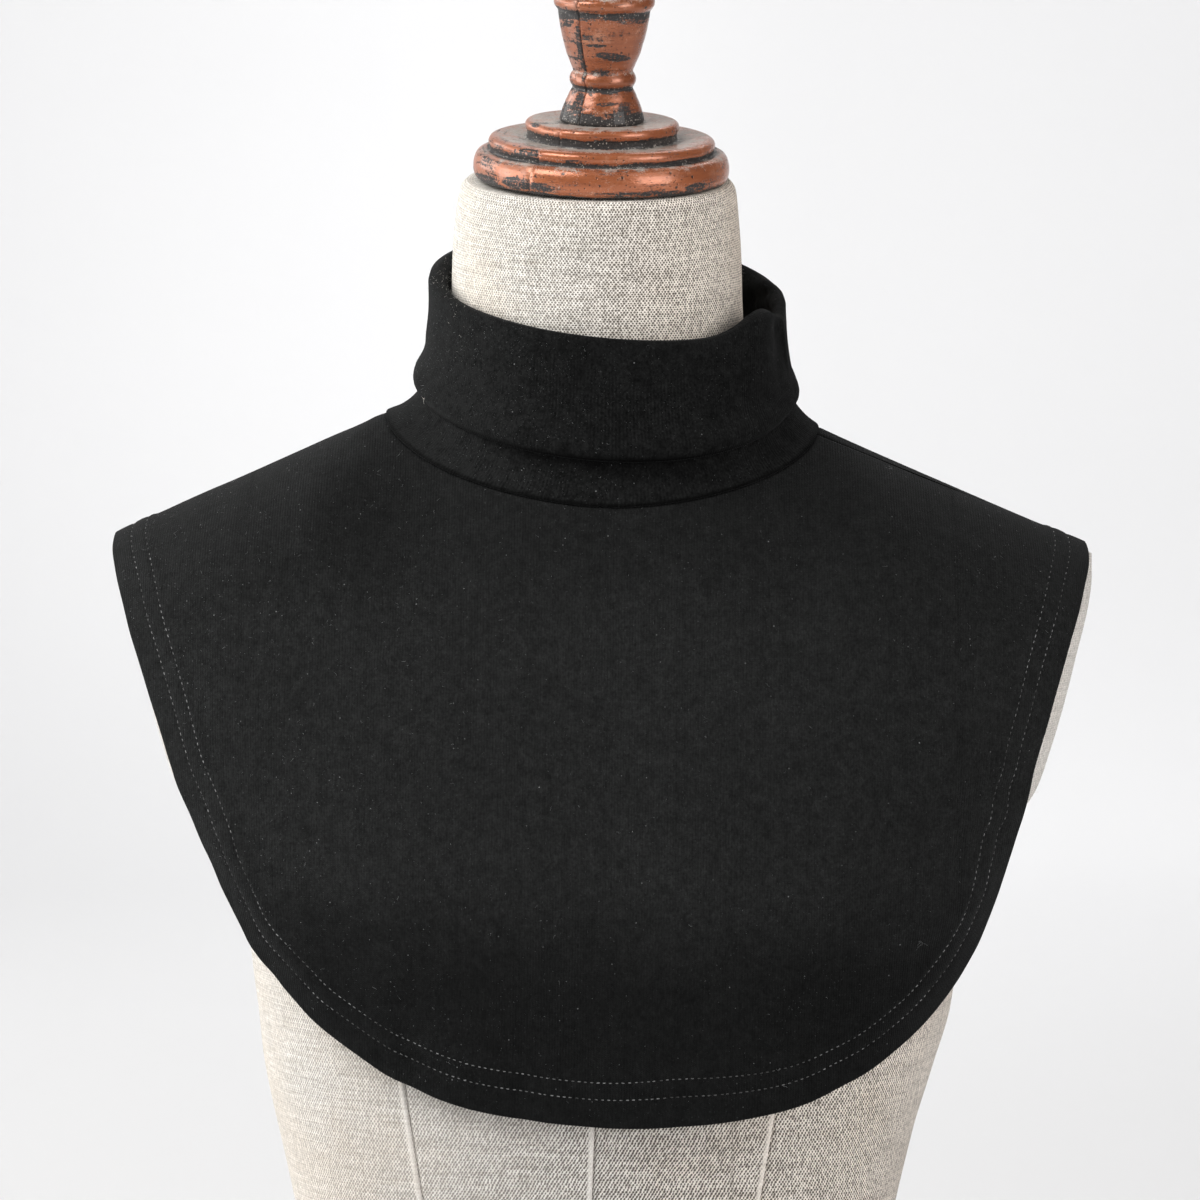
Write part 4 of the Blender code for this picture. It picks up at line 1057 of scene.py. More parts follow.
def neck(name, count, rows):
    rings = []
    for x, y, height, half_width, half_depth, lean in NECK_RINGS:
        tilt = np.array(Matrix.Rotation(math.radians(lean), 3, "X"))
        a = 2 * math.pi * np.arange(count) / count
        ring = np.stack([half_width * np.cos(a), -half_depth * np.sin(a), np.zeros(count)], axis=1)
        rings.append(ring @ tilt.T + np.array([x, y, height]))
    at = np.concatenate([np.linspace(0, 4, rows), np.linspace(4, 6, rows // 3)[1:]])
    grid = spline(np.stack(rings), at)
    grid = np.concatenate([grid, grid[-1:] * 0.94 + grid[-1:].mean(axis=1, keepdims=True) * 0.06])
    steps = np.linalg.norm(np.diff(grid, axis=0), axis=2).mean(axis=1)
    v = np.concatenate([[0.0], np.cumsum(steps)])
    u = np.arange(count) / count * 2 * math.pi * NECK_RADIUS
    order = np.roll(np.arange(count), -count * 3 // 4)
    grid = grid[:, order]
    piece = add_mesh(name, grid, capped_rings(len(grid), count))
    write_round_map(piece, *np.meshgrid(u, v), 2 * math.pi * NECK_RADIUS, caps=2)
    return piece, grid


# ---------------------------------------------------------------- the turnings

PARTING = math.radians(-33.0)             # where the moulded halves of the turnings meet


PARTING_COLUMNS = np.radians([0.25, 0.7, 1.6])     # to either side of the parting
PARTING_REACH = math.radians(2.6)
GROOVE = 0.28 * MM
ROUNDING = 0.9 * MM                       # most of a corner that is rounded off, to either side
CORNER_POINTS = 3


def rounded(profile, gap):
    """The profile with round corners, and with points no further apart than gap."""
    outline = [np.array(p) for p in profile]
    smooth = [outline[0]]
    for before, corner, after in zip(outline, outline[1:], outline[2:]):
        sides = [np.linalg.norm((other - corner)[:2]) for other in (before, after)]
        reach = min(0.42 * min(sides), ROUNDING)
        start, end = (corner + (other - corner) * reach / side
                      for other, side in zip((before, after), sides))
        for k in range(CORNER_POINTS):
            t = k / (CORNER_POINTS - 1)
            smooth.append((1 - t) ** 2 * start + 2 * t * (1 - t) * corner + t * t * end)
    smooth.append(outline[-1])
    path = [smooth[0]]
    for a, b in zip(smooth, smooth[1:]):
        pieces = max(1, int(np.linalg.norm((b - a)[:2]) / gap))
        path += [a + (b - a) * (k + 1) / pieces for k in range(pieces)]
    return np.array(path)


def turning(name, profile, foot, count, step, gap):
    """A turned piece, its profile rounded, with a small step where two halves meet."""
    path = rounded(profile, gap)
    whole_turn = 2 * math.pi
    base = np.linspace(0, whole_turn, count + 1)[:-1]
    base = base[(base > PARTING_REACH) & (base < whole_turn - PARTING_REACH)]
    angle = np.concatenate([[0.0], PARTING_COLUMNS, base, whole_turn - PARTING_COLUMNS[::-1]])
    count = len(angle)
    # angle 0 is the parting; growing angles go round the front to the garment's left
    behind = np.where(angle > math.pi, whole_turn - angle, 10.0)
    radial = step * smoothstep(math.radians(100), math.radians(3), behind)
    from_parting = np.minimum(angle, whole_turn - angle)
    radial = radial - GROOVE * np.exp(-(from_parting / math.radians(0.6)) ** 2)
    turn = PARTING + angle
    points = []
    for radius, height in path[:, :2]:
        r = radius + radial * min(1.0, radius / (8 * MM))
        points.append(np.stack([r * np.sin(turn), -r * np.cos(turn), np.full(count, height)], 1))
    axis = np.array(Matrix.Rotation(CAP_ROLL, 3, "Y") @ Matrix.Rotation(CAP_LEAN, 3, "X"))
    grid = np.stack(points) @ axis.T + np.array(CAP_SEAT) + axis @ np.array([0.0, 0.0, foot])
    widest = max(row[0] for row in profile)
    up_axis, dusty, blackened = (np.repeat(path[:, k], count) for k in (1, 2, 3))
    older = np.tile(smoothstep(math.radians(110), math.radians(60), behind), len(path))
    piece = add_mesh(name, grid, quads(len(path), count, wrap_columns=True),
                     older_half=older, up_axis=up_axis, dusty=dusty, blackened=blackened)
    write_round_map(piece, *np.meshgrid(angle * widest, run_length(path[:, :2])),
                    whole_turn * widest)
    return piece


# ---------------------------------------------------------------- fibres and lint

SCATTER_MARGIN = 2


def scatter(grid, normal, count, rng, weight=None):
    """Random places on a grid of points, even over its area, or by weight."""
    inner = grid[SCATTER_MARGIN:-SCATTER_MARGIN, SCATTER_MARGIN:-SCATTER_MARGIN]
    across = np.linalg.norm(np.diff(inner, axis=0)[:, :-1], axis=2)
    along = np.linalg.norm(np.diff(inner, axis=1)[:-1], axis=2)
    share = (across * along).ravel()
    if weight is not None:
        share = share * weight(inner[:-1, :-1]).ravel()
    cells = rng.choice(len(share), size=count, p=share / share.sum())
    i, j = np.unravel_index(cells, across.shape)
    a, b = rng.random((2, count, 1))
    i, j = i + SCATTER_MARGIN, j + SCATTER_MARGIN
    place = ((1 - a) * (1 - b) * grid[i, j] + a * (1 - b) * grid[i + 1, j]
             + (1 - a) * b * grid[i, j + 1] + a * b * grid[i + 1, j + 1])
    return place, normal[i, j]


def hairs(name, roots, directions, lengths, radius, rng, curl, joints=4):
    """Thin, three-sided, tapering hairs as one mesh."""
    verts, faces = [], []
    for root, direction, length in zip(roots, directions, lengths):
        bend = rng.normal(0, curl, 3)
        point = root.copy()
        first = len(verts)
        for k in range(joints):
            side = unit(np.cross(direction, np.array([0.31, 0.21, 0.93])))
            other = np.cross(direction, side)
            r = radius * (1 - 0.7 * k / (joints - 1))
            for j in range(3):
                angle = 2 * math.pi * j / 3
                verts.append(point + (side * math.cos(angle) + other * math.sin(angle)) * r)
            point = point + direction * length / (joints - 1)
            direction = unit(direction + bend / joints)
        faces += quads(joints, 3, wrap_columns=True, offset=first)
        last = first + 3 * joints
        faces += [[first + 2, first + 1, first], [last - 3, last - 2, last - 1]]
    return add_mesh(name, np.array(verts), faces)


def lint(name, grid, normal, count, fibres, seed, weight=None, coarse=1.0):
    """Specks of lint and short fibres lying on the cloth, as two meshes."""
    rng = np.random.default_rng(seed)
    places, normals = scatter(grid, normal, count, rng, weight)
    sizes = (0.10 * MM + rng.exponential(0.07 * MM, count).clip(0, 0.30 * MM)) * coarse
    verts, faces = [], []
    for place, up, size in zip(places, normals, sizes):
        a = unit(np.cross(up, rng.normal(size=3)))
        b = np.cross(up, a)
        stretch = rng.uniform(0.45, 1.0)
        first = len(verts)
        verts.append(place + up * size * 0.6)
        for k in range(5):
            angle = 2 * math.pi * k / 5 + rng.uniform(-0.3, 0.3)
            verts.append(place + (a * math.cos(angle) + b * math.sin(angle) * stretch) * size)
        verts.append(place - up * size * 0.3)
        for k in range(5):
            n = (k + 1) % 5
            faces.append([first, first + 1 + k, first + 1 + n])
            faces.append([first + 6, first + 1 + n, first + 1 + k])
    specks = add_mesh(name + "_specks", np.array(verts), faces)
    places, normals = scatter(grid, normal, fibres, rng, weight)
    lying = unit(np.cross(normals, rng.normal(size=normals.shape)) + 0.10 * normals)
    lengths = rng.uniform(0.8, 3.6, fibres) * MM * coarse
    threads = hairs(name + "_fibres", places + normals * 0.08 * MM, lying, lengths,
                    0.045 * MM, rng, 0.9, joints=5)
    return specks, threads


def nap(name, grid, normal, count, seed, length, radius, weight=None, lean=0.6):
    """Short hairs standing off a surface."""
    rng = np.random.default_rng(seed)
    places, normals = scatter(grid, normal, count, rng, weight)
    directions = unit(normals + rng.normal(0, lean, normals.shape))
    lengths = rng.uniform(length[0], length[1], count)
    return hairs(name, places - normals * 0.05 * MM, directions, lengths, radius, rng, 1.2,
                 joints=3)


def tangles(name, grid, normal, spots, seed):
    """Curled threads caught at single places, given as x, height, how many, how long in mm."""
    rng = np.random.default_rng(seed)
    points, ups = grid.reshape(-1, 3), normal.reshape(-1, 3)
    roots, ways, lengths = [], [], []
    for x, z, count, length in spots:
        away = np.hypot(points[:, 0] - x, points[:, 2] - z) + 1.0 * (points[:, 1] > 0.03)
        k = int(np.argmin(away))
        for _ in range(count):
            roots.append(points[k] + ups[k] * 0.15 * MM + rng.normal(0, 0.30 * MM, 3))
            ways.append(unit(np.cross(ups[k], rng.normal(size=3)) + 0.30 * ups[k]))
            lengths.append(length * MM * rng.uniform(0.6, 1.2))
    return hairs(name, roots, ways, lengths, 0.055 * MM, rng, 2.6, joints=8)


TUFT = 12                                 # hairs in the frayed tuft on the arm, and its height
TUFT_Z = 313.5 * MM


def arm_hairs(name, count, seed):
    """Flax ends standing off the arm's edge at the garment's left, with one frayed tuft."""
    rng = np.random.default_rng(seed)
    heights = np.concatenate([rng.uniform(0.275, 0.400, count), np.full(TUFT, TUFT_Z)])
    heights[count:] += rng.normal(0, 0.6 * MM, TUFT)
    outer = column(FORM_SECTIONS, 1, heights) + column(FORM_SECTIONS, 4, heights) - 0.3 * MM
    depth = rng.normal(0, 3 * MM, count + TUFT)
    depth[count:] *= 0.3
    roots = np.stack([outer, RIDGE_Y + depth, heights], axis=1)
    ways = unit(np.array([0.9, -0.35, -0.1]) + rng.normal(0, 0.55, roots.shape))
    lengths = np.concatenate([rng.uniform(0.4, 1.6, count), rng.uniform(2.6, 4.6, TUFT)]) * MM
    return hairs(name, roots, ways, lengths, 0.06 * MM, rng, 2.2, joints=8)


# ---------------------------------------------------------------- materials

def arithmetic(operation, swapped=False):
    def method(self, other):
        a, b = (other, self) if swapped else (self, other)
        return self.nodes.math(operation, a, b)
    return method


class Value:
    """An output of a node.  Plain arithmetic on it adds the nodes that do the sum."""

    def __init__(self, nodes, socket):
        self.nodes, self.socket = nodes, socket

    __add__ = arithmetic("ADD")
    __radd__ = arithmetic("ADD", swapped=True)
    __sub__ = arithmetic("SUBTRACT")
    __rsub__ = arithmetic("SUBTRACT", swapped=True)
    __mul__ = arithmetic("MULTIPLY")
    __rmul__ = arithmetic("MULTIPLY", swapped=True)
    __truediv__ = arithmetic("DIVIDE")


class Nodes:
    """Short hand for building one material."""

    def __init__(self, name):
        self.material = bpy.data.materials.new(name)
        self.material.use_nodes = True
        self.tree = self.material.node_tree
        self.shader = self.tree.nodes["Principled BSDF"]

    def feed(self, node, values):
        """Link a node's inputs to values, or set the inputs to plain numbers and colours."""
        for key, value in values.items():
            if isinstance(value, Value):
                self.tree.links.new(value.socket, node.inputs[key])
            else:
                node.inputs[key].default_value = value

    def add(self, kind, values, output=0, **settings):
        node = self.tree.nodes.new("ShaderNode" + kind)
        for key, value in settings.items():
            setattr(node, key, value)
        self.feed(node, values)
        return Value(self, node.outputs[output])

    def math(self, operation, a, b=0.0, clamp=False):
        return self.add("Math", {0: a, 1: b}, operation=operation, use_clamp=clamp)

    def noise(self, vector, scale, detail=3.0, rough=0.55, distortion=0.0):
        return self.add("TexNoise", {"Vector": vector, "Scale": scale, "Detail": detail,
                                     "Roughness": rough, "Distortion": distortion}, "Fac")

    def varied(self, *noise):
        """Noise about zero, from -0.5 to 0.5."""
        return self.noise(*noise) - 0.5

    def voronoi(self, vector, scale):
        return self.add("TexVoronoi", {"Vector": vector, "Scale": scale}, "Distance")

    def spots(self, vector, scale, low, high):
        """1 at the middle of each cell of a Voronoi texture, 0 beyond high."""
        return 1.0 - self.ramp(self.voronoi(vector, scale), low, high)

    def white(self, x, y, z):
        """A random number for each set of three."""
        cell = self.add("CombineXYZ", {0: x, 1: y, 2: z})
        return self.add("TexWhiteNoise", {"Vector": cell}, "Value", noise_dimensions="3D")

    def separate(self, vector):
        socket = self.add("SeparateXYZ", {0: vector}).socket
        return [Value(self, output) for output in socket.node.outputs]

    def scaled(self, vector, x, y):
        return self.add("VectorMath", {0: vector, 1: (x, y, 1.0)}, operation="MULTIPLY")

    def ramp(self, value, low, high):
        """0 below low, 1 above high, smooth between."""
        return self.add("MapRange", {"Value": value, "From Min": low, "From Max": high},
                        "Result", interpolation_type="SMOOTHSTEP")

    def mix(self, share, a, b, blend="MIX"):
        a, b = (colour if isinstance(colour, Value) else (*colour, 1.0) for colour in (a, b))
        return self.add("Mix", {0: share, 6: a, 7: b}, 2, data_type="RGBA", blend_type=blend)

    def coordinates(self, kind):
        return self.add("TexCoord", {}, kind)

    def attribute(self, name):
        return self.add("Attribute", {}, "Fac", attribute_name=name)

    def surface(self, height, distance, strength, values):
        """The finished material, with a bump of this height."""
        bump = self.add("Bump", {"Strength": strength, "Distance": distance, "Height": height})
        self.feed(self.shader, {"Normal": bump, **values})
        return self.material


def times(colour, factor):
    return tuple(channel * factor for channel in colour)


WALE = 1.06 * MM
COURSE = 0.82 * MM
GAP_PITCH = 1.36 * MM                     # from gap to gap along a row of the linen
GAP_ROWS = 0.98 * MM                      # from row to row


def knit_material(name, wale=WALE, seed=0.0, depth=1.0, painted_shade_below=None, ribs=1.0,
                  heather=1.0, sheen=0.04, right=(15 * MM, 110 * MM, -0.14), edges=None):
    """Black cotton jersey: fine wales of stitches, a short nap and some lint."""
    n = Nodes(name)
    uv = n.coordinates("UV")
    u, v, _ = n.separate(uv)
    u += n.varied(uv, 90.0, 2.0) * (0.5 * MM)
    from_middle = n.math("ABSOLUTE", n.math("FRACT", u / wale) - 0.5)
    rib = 1.0 - n.math("POWER", 2.0 * from_middle, 2.2)
    loop = 0.5 + 0.5 * n.math("SINE", (v / COURSE + 1.1 * from_middle) * (2 * math.pi))
    stitch = rib * (0.6 + 0.4 * loop)
    place = n.coordinates("Object")
    height = stitch * ribs + 0.6 * n.noise(place, 2600.0, 3.0, 0.6)
    broad = n.noise(place, 24.0, 3.0, 0.5)
    strand = n.white(n.math("FLOOR", u / wale), seed, 0.0)
    light = 1.0 + n.varied(place, 230.0, 4.0, 0.65) * (1.3 * heather)
    light *= 1.0 + n.varied(place, 900.0, 3.0, 0.7) * (1.9 * heather)
    light *= 1.0 - 0.26 * ribs + stitch * (0.4 * ribs)
    light *= 0.85 + 0.3 * broad
    light *= 1.0 - 0.07 * ribs + strand * (0.14 * ribs)
    if edges:
        drawn = n.math("MAXIMUM", n.ramp(v, edges[0], 0.3 * edges[0]),
                       n.ramp(v, edges[1], 1.2 * edges[1]))
        drawn *= n.ramp(n.noise(place, 31.0, 2.0, 0.5), 0.36, 0.6)
        line = n.math("SINE", u * (2 * math.pi / (1.3 * MM)))
        light *= 1.0 + 0.26 * (line * drawn)
    # painted shade from the meshes' attribute darkens seams and edges; below zero it is painted
    # light that makes the jersey paler
    seam = n.attribute("in_seam")
    light *= n.math("MAXIMUM", 1.0, 1.0 - 1.5 * seam)
    # painted light and shade: the jersey is darkened (gain below zero) or lightened (above zero)
    # across a range of x; the bibs are darker towards the garment's left
    at_x, _, up = n.separate(place)
    light *= 1.0 + n.ramp(at_x, *right[:2]) * right[2]
    # painted shade: the bib is darker below this height, under the bust, and darker towards the
    # shoulders' tops
    if painted_shade_below is not None:
        up += (broad - 0.5) * (40 * MM)
        light *= 0.63 + 0.66 * n.ramp(up, painted_shade_below - 28 * MM, painted_shade_below + 24 * MM)
        light *= 1.0 - 0.34 * n.ramp(up, 375 * MM, 432 * MM)
    colour = n.mix(n.math("MULTIPLY", light, 0.5, clamp=True),
                   times((0.001, 0.0011, 0.0011), depth), times((0.0222, 0.0232, 0.0232), depth))
    worn = n.noise(place, 36.0, 4.0, 0.7)
    small = n.spots(place, 560.0, 0.05, 0.17) * n.ramp(worn, 0.4, 0.66)
    large = n.spots(place, 150.0, 0.02, 0.055) * n.ramp(worn, 0.44, 0.56)
    colour = n.mix(0.3 * small, colour, (0.1, 0.105, 0.11))
    colour = n.mix(0.8 * large, colour, (0.22, 0.225, 0.23))
    # painted shade: near black where the attribute is high
    colour = n.mix(n.math("MULTIPLY", seam, 0.92, clamp=True), colour, (0.0006, 0.0006, 0.0006))
    return n.surface(height, 0.34 * MM, 0.9, {
        "Base Color": colour, "Roughness": 0.95, "Specular IOR Level": 0.05,
        "Sheen Weight": sheen, "Sheen Roughness": 0.42, "Sheen Tint": (0.95, 0.97, 1.0, 1.0)})


def linen_material(name, thread, painted_highlight, lean, skew, slubs, right):
    """Open weave of natural linen: pale uneven threads with small dark gaps in staggered rows."""
    n = Nodes(name)
    uv = n.coordinates("UV")
    place = n.coordinates("Object")
    u, v, _ = n.separate(uv)
    u += n.varied(uv, 42.0, 2.0) * (2.0 * MM)
    v += n.varied(n.scaled(uv, 0.7, 0.8), 34.0, 2.0) * (1.7 * MM)
    course = v / GAP_ROWS
    row = n.math("FLOOR", course)
    pick = u / GAP_PITCH + row * (0.5 - lean)
    number = n.math("FLOOR", pick)
    own = n.white(number, row, 1.7)
    x = (n.math("FRACT", pick) - 0.5) * (GAP_PITCH / MM)
    y = (n.math("FRACT", course) - 0.5) * (GAP_ROWS / MM)
    side = n.separate(place)[0]
    centre = n.ramp(n.math("ABSOLUTE", side), 95 * MM, 40 * MM)
    x += y * (centre * skew) + 0.34 * (n.white(number, row, 5.2) - 0.5)
    patch = n.noise(uv, 75.0, 3.0, 0.6)
    least, patchy, squeeze = (0.1, 0.1, 0.62) if skew else (0.15, 0.04, 0.92)
    band = n.noise(n.scaled(uv, 9.0, 480.0), 1.0, 2.0, 0.6)
    size = least + 0.18 * own + patchy * patch + 0.23 * band
    y *= squeeze
    hole = 1.0 - n.ramp(n.math("SQRT", x * x + y * y) / size, 0.62, 1.55)
    split = n.ramp(n.noise(n.scaled(uv, 260.0, 14.0), 1.0, 2.0), 0.62, 0.74)
    hole = n.math("MAXIMUM", hole, split * (0.1 + 0.5 * own))
    plain = n.attribute("folded_edge")
    hole *= 1.0 - 0.78 * plain
    # painted light: towards the garment's left the gaps are a little fewer and the threads much
    # paler
    at_right = n.ramp(side, *right)
    hole *= 1.0 - 0.03 * at_right
    # painted highlight: the gaps are washed out at the garment's right; painted light: the threads
    # are paler towards its left
    painted_light_ramp = n.ramp(side + patch * (30 * MM), -70 * MM, 40 * MM)
    hole *= 1.0 - painted_highlight + painted_light_ramp * painted_highlight
    tone = 0.6 * n.noise(n.scaled(uv, 900.0, 55.0), 1.0)
    tone += 1.2 * n.noise(n.scaled(uv, 55.0, 1000.0), 1.0)
    shade = (tone - 0.9) * (1.5 * slubs) + 0.55 + 0.5 * n.varied(place, 3000.0, 2.0)
    shade += 0.03 * plain + 0.32 * painted_light_ramp + 0.78 * at_right
    dark, pale, stained, gap = (
        tuple(min(0.95, a * b) for a, b in zip(thread, factors))
        for factors in ((0.72, 0.70, 0.67), (1.12, 1.13, 1.15), (1.04, 0.95, 0.86),
                        (0.095, 0.082, 0.068)))
    colour = n.mix(n.math("MULTIPLY", shade, 1.0, clamp=True), dark, pale)
    colour = n.mix(0.35 * n.ramp(n.noise(place, 16.0, 3.0, 0.5), 0.42, 0.66), colour, stained)
    # painted shade: the form's shaded side is tinted warmer
    warm = n.ramp(side, -20 * MM, right[1]) * n.ramp(side, 170 * MM, 135 * MM)
    colour = n.mix(warm, colour, (1.03, 0.972, 0.920), "MULTIPLY")
    colour = n.mix(0.95 * hole, colour, gap)
    # painted light: paler towards the arm at the garment's left
    colour = n.mix(0.3 * n.ramp(side, 100 * MM, 172 * MM), colour, (0.96, 0.93, 0.875))
    return n.surface(0.35 * shade - hole, 0.30 * MM, 0.8, {
        "Base Color": colour, "Roughness": 0.88, "Specular IOR Level": 0.2,
        "Sheen Weight": 0.06, "Sheen Roughness": 0.5})


def copper_material(name, widest, marks, streaks, brown):
    """Antique copper-brown paint, rubbed to dark in streaks and grooves, with dust on top."""
    n = Nodes(name)
    uv = n.coordinates("UV")
    place = n.coordinates("Object")
    up = n.attribute("up_axis")
    older = n.attribute("older_half")
    around = n.separate(uv)[0] / widest
    streak = n.noise(n.scaled(uv, 40.0, 460.0), 1.0, 4.0, 0.62, 0.4)
    patch = n.noise(n.scaled(uv, 60.0, 150.0), 1.0, 4.0, 0.6, 0.6)
    fine = n.noise(place, 1100.0, 3.0, 0.65)
    worn = 0.55 * streak + 0.5 * patch + 0.36 * (fine - 0.5) + 0.055 * older
    worn += 0.34 * n.attribute("blackened")
    marked = 0.0
    for degrees, height, half_degrees, half_height, slant in marks:
        a = (around - math.radians(degrees)) / math.radians(half_degrees)
        h = (up - (height * MM + a * (slant * MM))) / (half_height * MM)
        marked = n.math("MAXIMUM", marked, 1.25 - (a * a + h * h))
    marked = n.math("MINIMUM", marked, 0.74) + 1.2 * (fine - 0.5)
    marked += 1.9 * n.varied(n.scaled(uv, 190.0, 1100.0), 1.0, 4.0, 0.7)
    dark = n.math("MAXIMUM", n.ramp(worn, *streaks), n.ramp(marked, 0.46, 0.7))
    copper = n.mix(n.noise(place, 55.0, 3.0, 0.5), times((0.33, 0.092, 0.036), brown),
                   times((0.55, 0.185, 0.080), brown))
    copper = n.mix(0.5 * n.ramp(streak, 0.42, 0.68), copper, times((0.27, 0.08, 0.036), brown))
    rubbed = 0.4 * n.ramp(n.noise(place, 150.0, 4.0, 0.7), 0.54, 0.7)
    copper = n.mix(rubbed, copper, (0.60, 0.30, 0.19))
    film = older * n.ramp(n.noise(place, 95.0, 4.0, 0.65), 0.4, 0.66)
    copper = n.mix(0.55 * film, copper, (0.33, 0.2, 0.16))
    speck = n.ramp(n.noise(place, 2300.0, 2.0, 0.6), 0.58, 0.70)
    blackened = n.mix(n.noise(place, 500.0, 2.0), (0.006, 0.005, 0.005), (0.030, 0.026, 0.026))
    blackened = n.mix(0.3 * speck, blackened, (0.2, 0.18, 0.17))
    colour = n.mix(dark, copper, blackened)
    pits = n.spots(place, 240.0, 0.09, 0.19) * n.ramp(n.noise(place, 75.0), 0.4, 0.45)
    small = n.spots(place, 620.0, 0.10, 0.22) * n.ramp(n.noise(place, 130.0), 0.43, 0.52)
    pit = n.math("MAXIMUM", pits, small)
    flecks = n.noise(n.scaled(uv, 420.0, 1900.0), 1.0, 3.0, 0.65) + 0.35 * (patch - 0.5)
    pit = n.math("MAXIMUM", pit, 0.75 * n.ramp(flecks, 0.6, 0.7))
    colour = n.mix(0.88 * pit, colour, (0.016, 0.013, 0.012))
    lying = n.attribute("dusty") + 2.3 * n.varied(place, 210.0, 4.0, 0.65)
    lying += 2.2 * n.varied(place, 1700.0, 3.0, 0.75)
    grain = n.spots(place, 950.0, 0.16, 0.32)
    grain *= n.attribute("blackened") * n.ramp(n.noise(place, 300.0, 2.0), 0.4, 0.58)
    dusted = n.math("MAXIMUM", 0.88 * n.ramp(lying, 0.44, 1.0), grain)
    dust = n.mix(n.noise(place, 800.0, 3.0, 0.7), (0.24, 0.21, 0.185), (0.60, 0.56, 0.51))
    colour = n.mix(dusted, colour, dust)
    height = 0.48 * fine - 0.6 * dark - pit + 0.35 * dusted + 0.5 * n.noise(place, 190.0, 2.0)
    return n.surface(height, 0.26 * MM, 0.8, {
        "Base Color": colour, "Metallic": 0.32 * (1.0 - dusted) * (1.0 - dark),
        "Roughness": 0.46 * dark + 0.18 + 0.55 * dusted + 0.1 * older + 0.1 * fine,
        "Specular IOR Level": 0.5, "Coat Weight": 0.24, "Coat Roughness": 0.09,
        "Sheen Weight": 0.03, "Sheen Roughness": 0.4})


def fibre_material(name, dark, pale, patches, roughness, sheen, gloss=0.15):
    """Thread, hair or lint: its tone changes along it and from one stretch to the next."""
    n = Nodes(name)
    place = n.coordinates("Object")
    tone = n.ramp(n.noise(place, 420.0, 2.0), 0.3, 0.7)
    tone *= n.ramp(n.noise(place, patches, 3.0, 0.6), 0.36, 0.6)
    return n.surface(n.noise(place, 3800.0, 2.0), 0.08 * MM, 0.6, {
        "Base Color": n.mix(tone, dark, pale), "Roughness": roughness,
        "Specular IOR Level": gloss, "Sheen Weight": sheen})


def stage_material(name, colour):
    """Pale paper with painted shade: a little darker to the front and to both sides."""
    n = Nodes(name)
    place = n.coordinates("Object")
    x, y, _ = n.separate(place)
    y -= SWEEP_FROM
    tone = 0.05 * n.noise(place, 1.4, 2.0) + 0.5 * n.ramp(y, 2.0, -0.4)
    tone += n.ramp(x, 0.35, -1.0) * (0.33 + 0.27 * n.ramp(y, 1.8, 0.4))
    beside = n.ramp(x, -0.25, 0.3) * n.ramp(y, 0.2, 1.2)
    tone = n.math("ADD", tone, 0.45 * beside, clamp=True)
    n.feed(n.shader, {"Base Color": n.mix(tone, colour, times(colour, 0.73)),
                      "Roughness": 0.9, "Specular IOR Level": 0.1})
    return n.material


# ---------------------------------------------------------------- camera, light and floor

TARGET = Vector((0.0, 0.0, 0.389))
DISTANCE = 2.0
SWEEP_FROM = 2.4                          # the floor starts to curve up this far behind
SWEEP_RADIUS = 2.2
ELEVATION = math.radians(3.0)
TILT = math.radians(0.5)


def camera():
    data = bpy.data.cameras.new("camera")
    data.lens = 150.0
    data.sensor_width = 36.0
    placed = place_in_scene("camera", data)
    offset = Vector((0.0, -math.cos(ELEVATION), math.sin(ELEVATION))) * DISTANCE
    placed.location = TARGET + offset
    aim = (TARGET - placed.location).to_track_quat("-Z", "Y")
    placed.rotation_mode = "QUATERNION"
    placed.rotation_quaternion = aim @ Matrix.Rotation(TILT, 3, "Z").to_quaternion()
    bpy.context.scene.camera = placed


def area_light(name, place, aim, size, power, colour):
    data = bpy.data.lights.new(name, "AREA")
    data.shape = "RECTANGLE"
    data.size, data.size_y = size
    data.energy = power
    data.color = colour
    placed = place_in_scene(name, data)
    placed.location = place
    placed.rotation_euler = (Vector(aim) - Vector(place)).to_track_quat("-Z", "Y").to_euler()


def light():
    bpy.context.scene.view_settings.view_transform = "Standard"
    world = bpy.data.worlds.new("studio")
    world.use_nodes = True
    background = world.node_tree.nodes["Background"]
    background.inputs["Color"].default_value = (0.96, 0.98, 1.0, 1.0)
    background.inputs["Strength"].default_value = 0.06
    bpy.context.scene.world = world
    middle = (0.0, 0.0, 0.40)
    area_light("window", (-2.4, -0.2, 0.7), middle, (1.6, 1.6), 47.0, (1.0, 0.99, 0.965))
    area_light("key", (-1.4, -1.2, 2.1), middle, (1.4, 1.4), 50.0, (1.0, 0.99, 0.975))
    area_light("left_rim", (-2.0, 1.3, 1.4), middle, (1.4, 1.4), 23.0, (1.0, 1.0, 0.985))
    area_light("fill", (1.9, -1.7, 0.9), middle, (1.4, 1.4), 34.0, (1.0, 0.968, 0.945))
    area_light("right_top", (1.4, -1.2, 2.1), middle, (1.4, 1.4), 9.0, (1.0, 0.98, 0.97))
    area_light("top_rim", (0.0, 1.6, 2.6), middle, (2.4, 1.0), 12.0, (1.0, 1.0, 1.0))
    area_light("sweep_light", (0.0, SWEEP_FROM - 0.05, 2.5),
               (0.0, SWEEP_FROM + 1.7, 0.0), (3.6, 0.5), 62.0, (1.0, 1.0, 1.0))


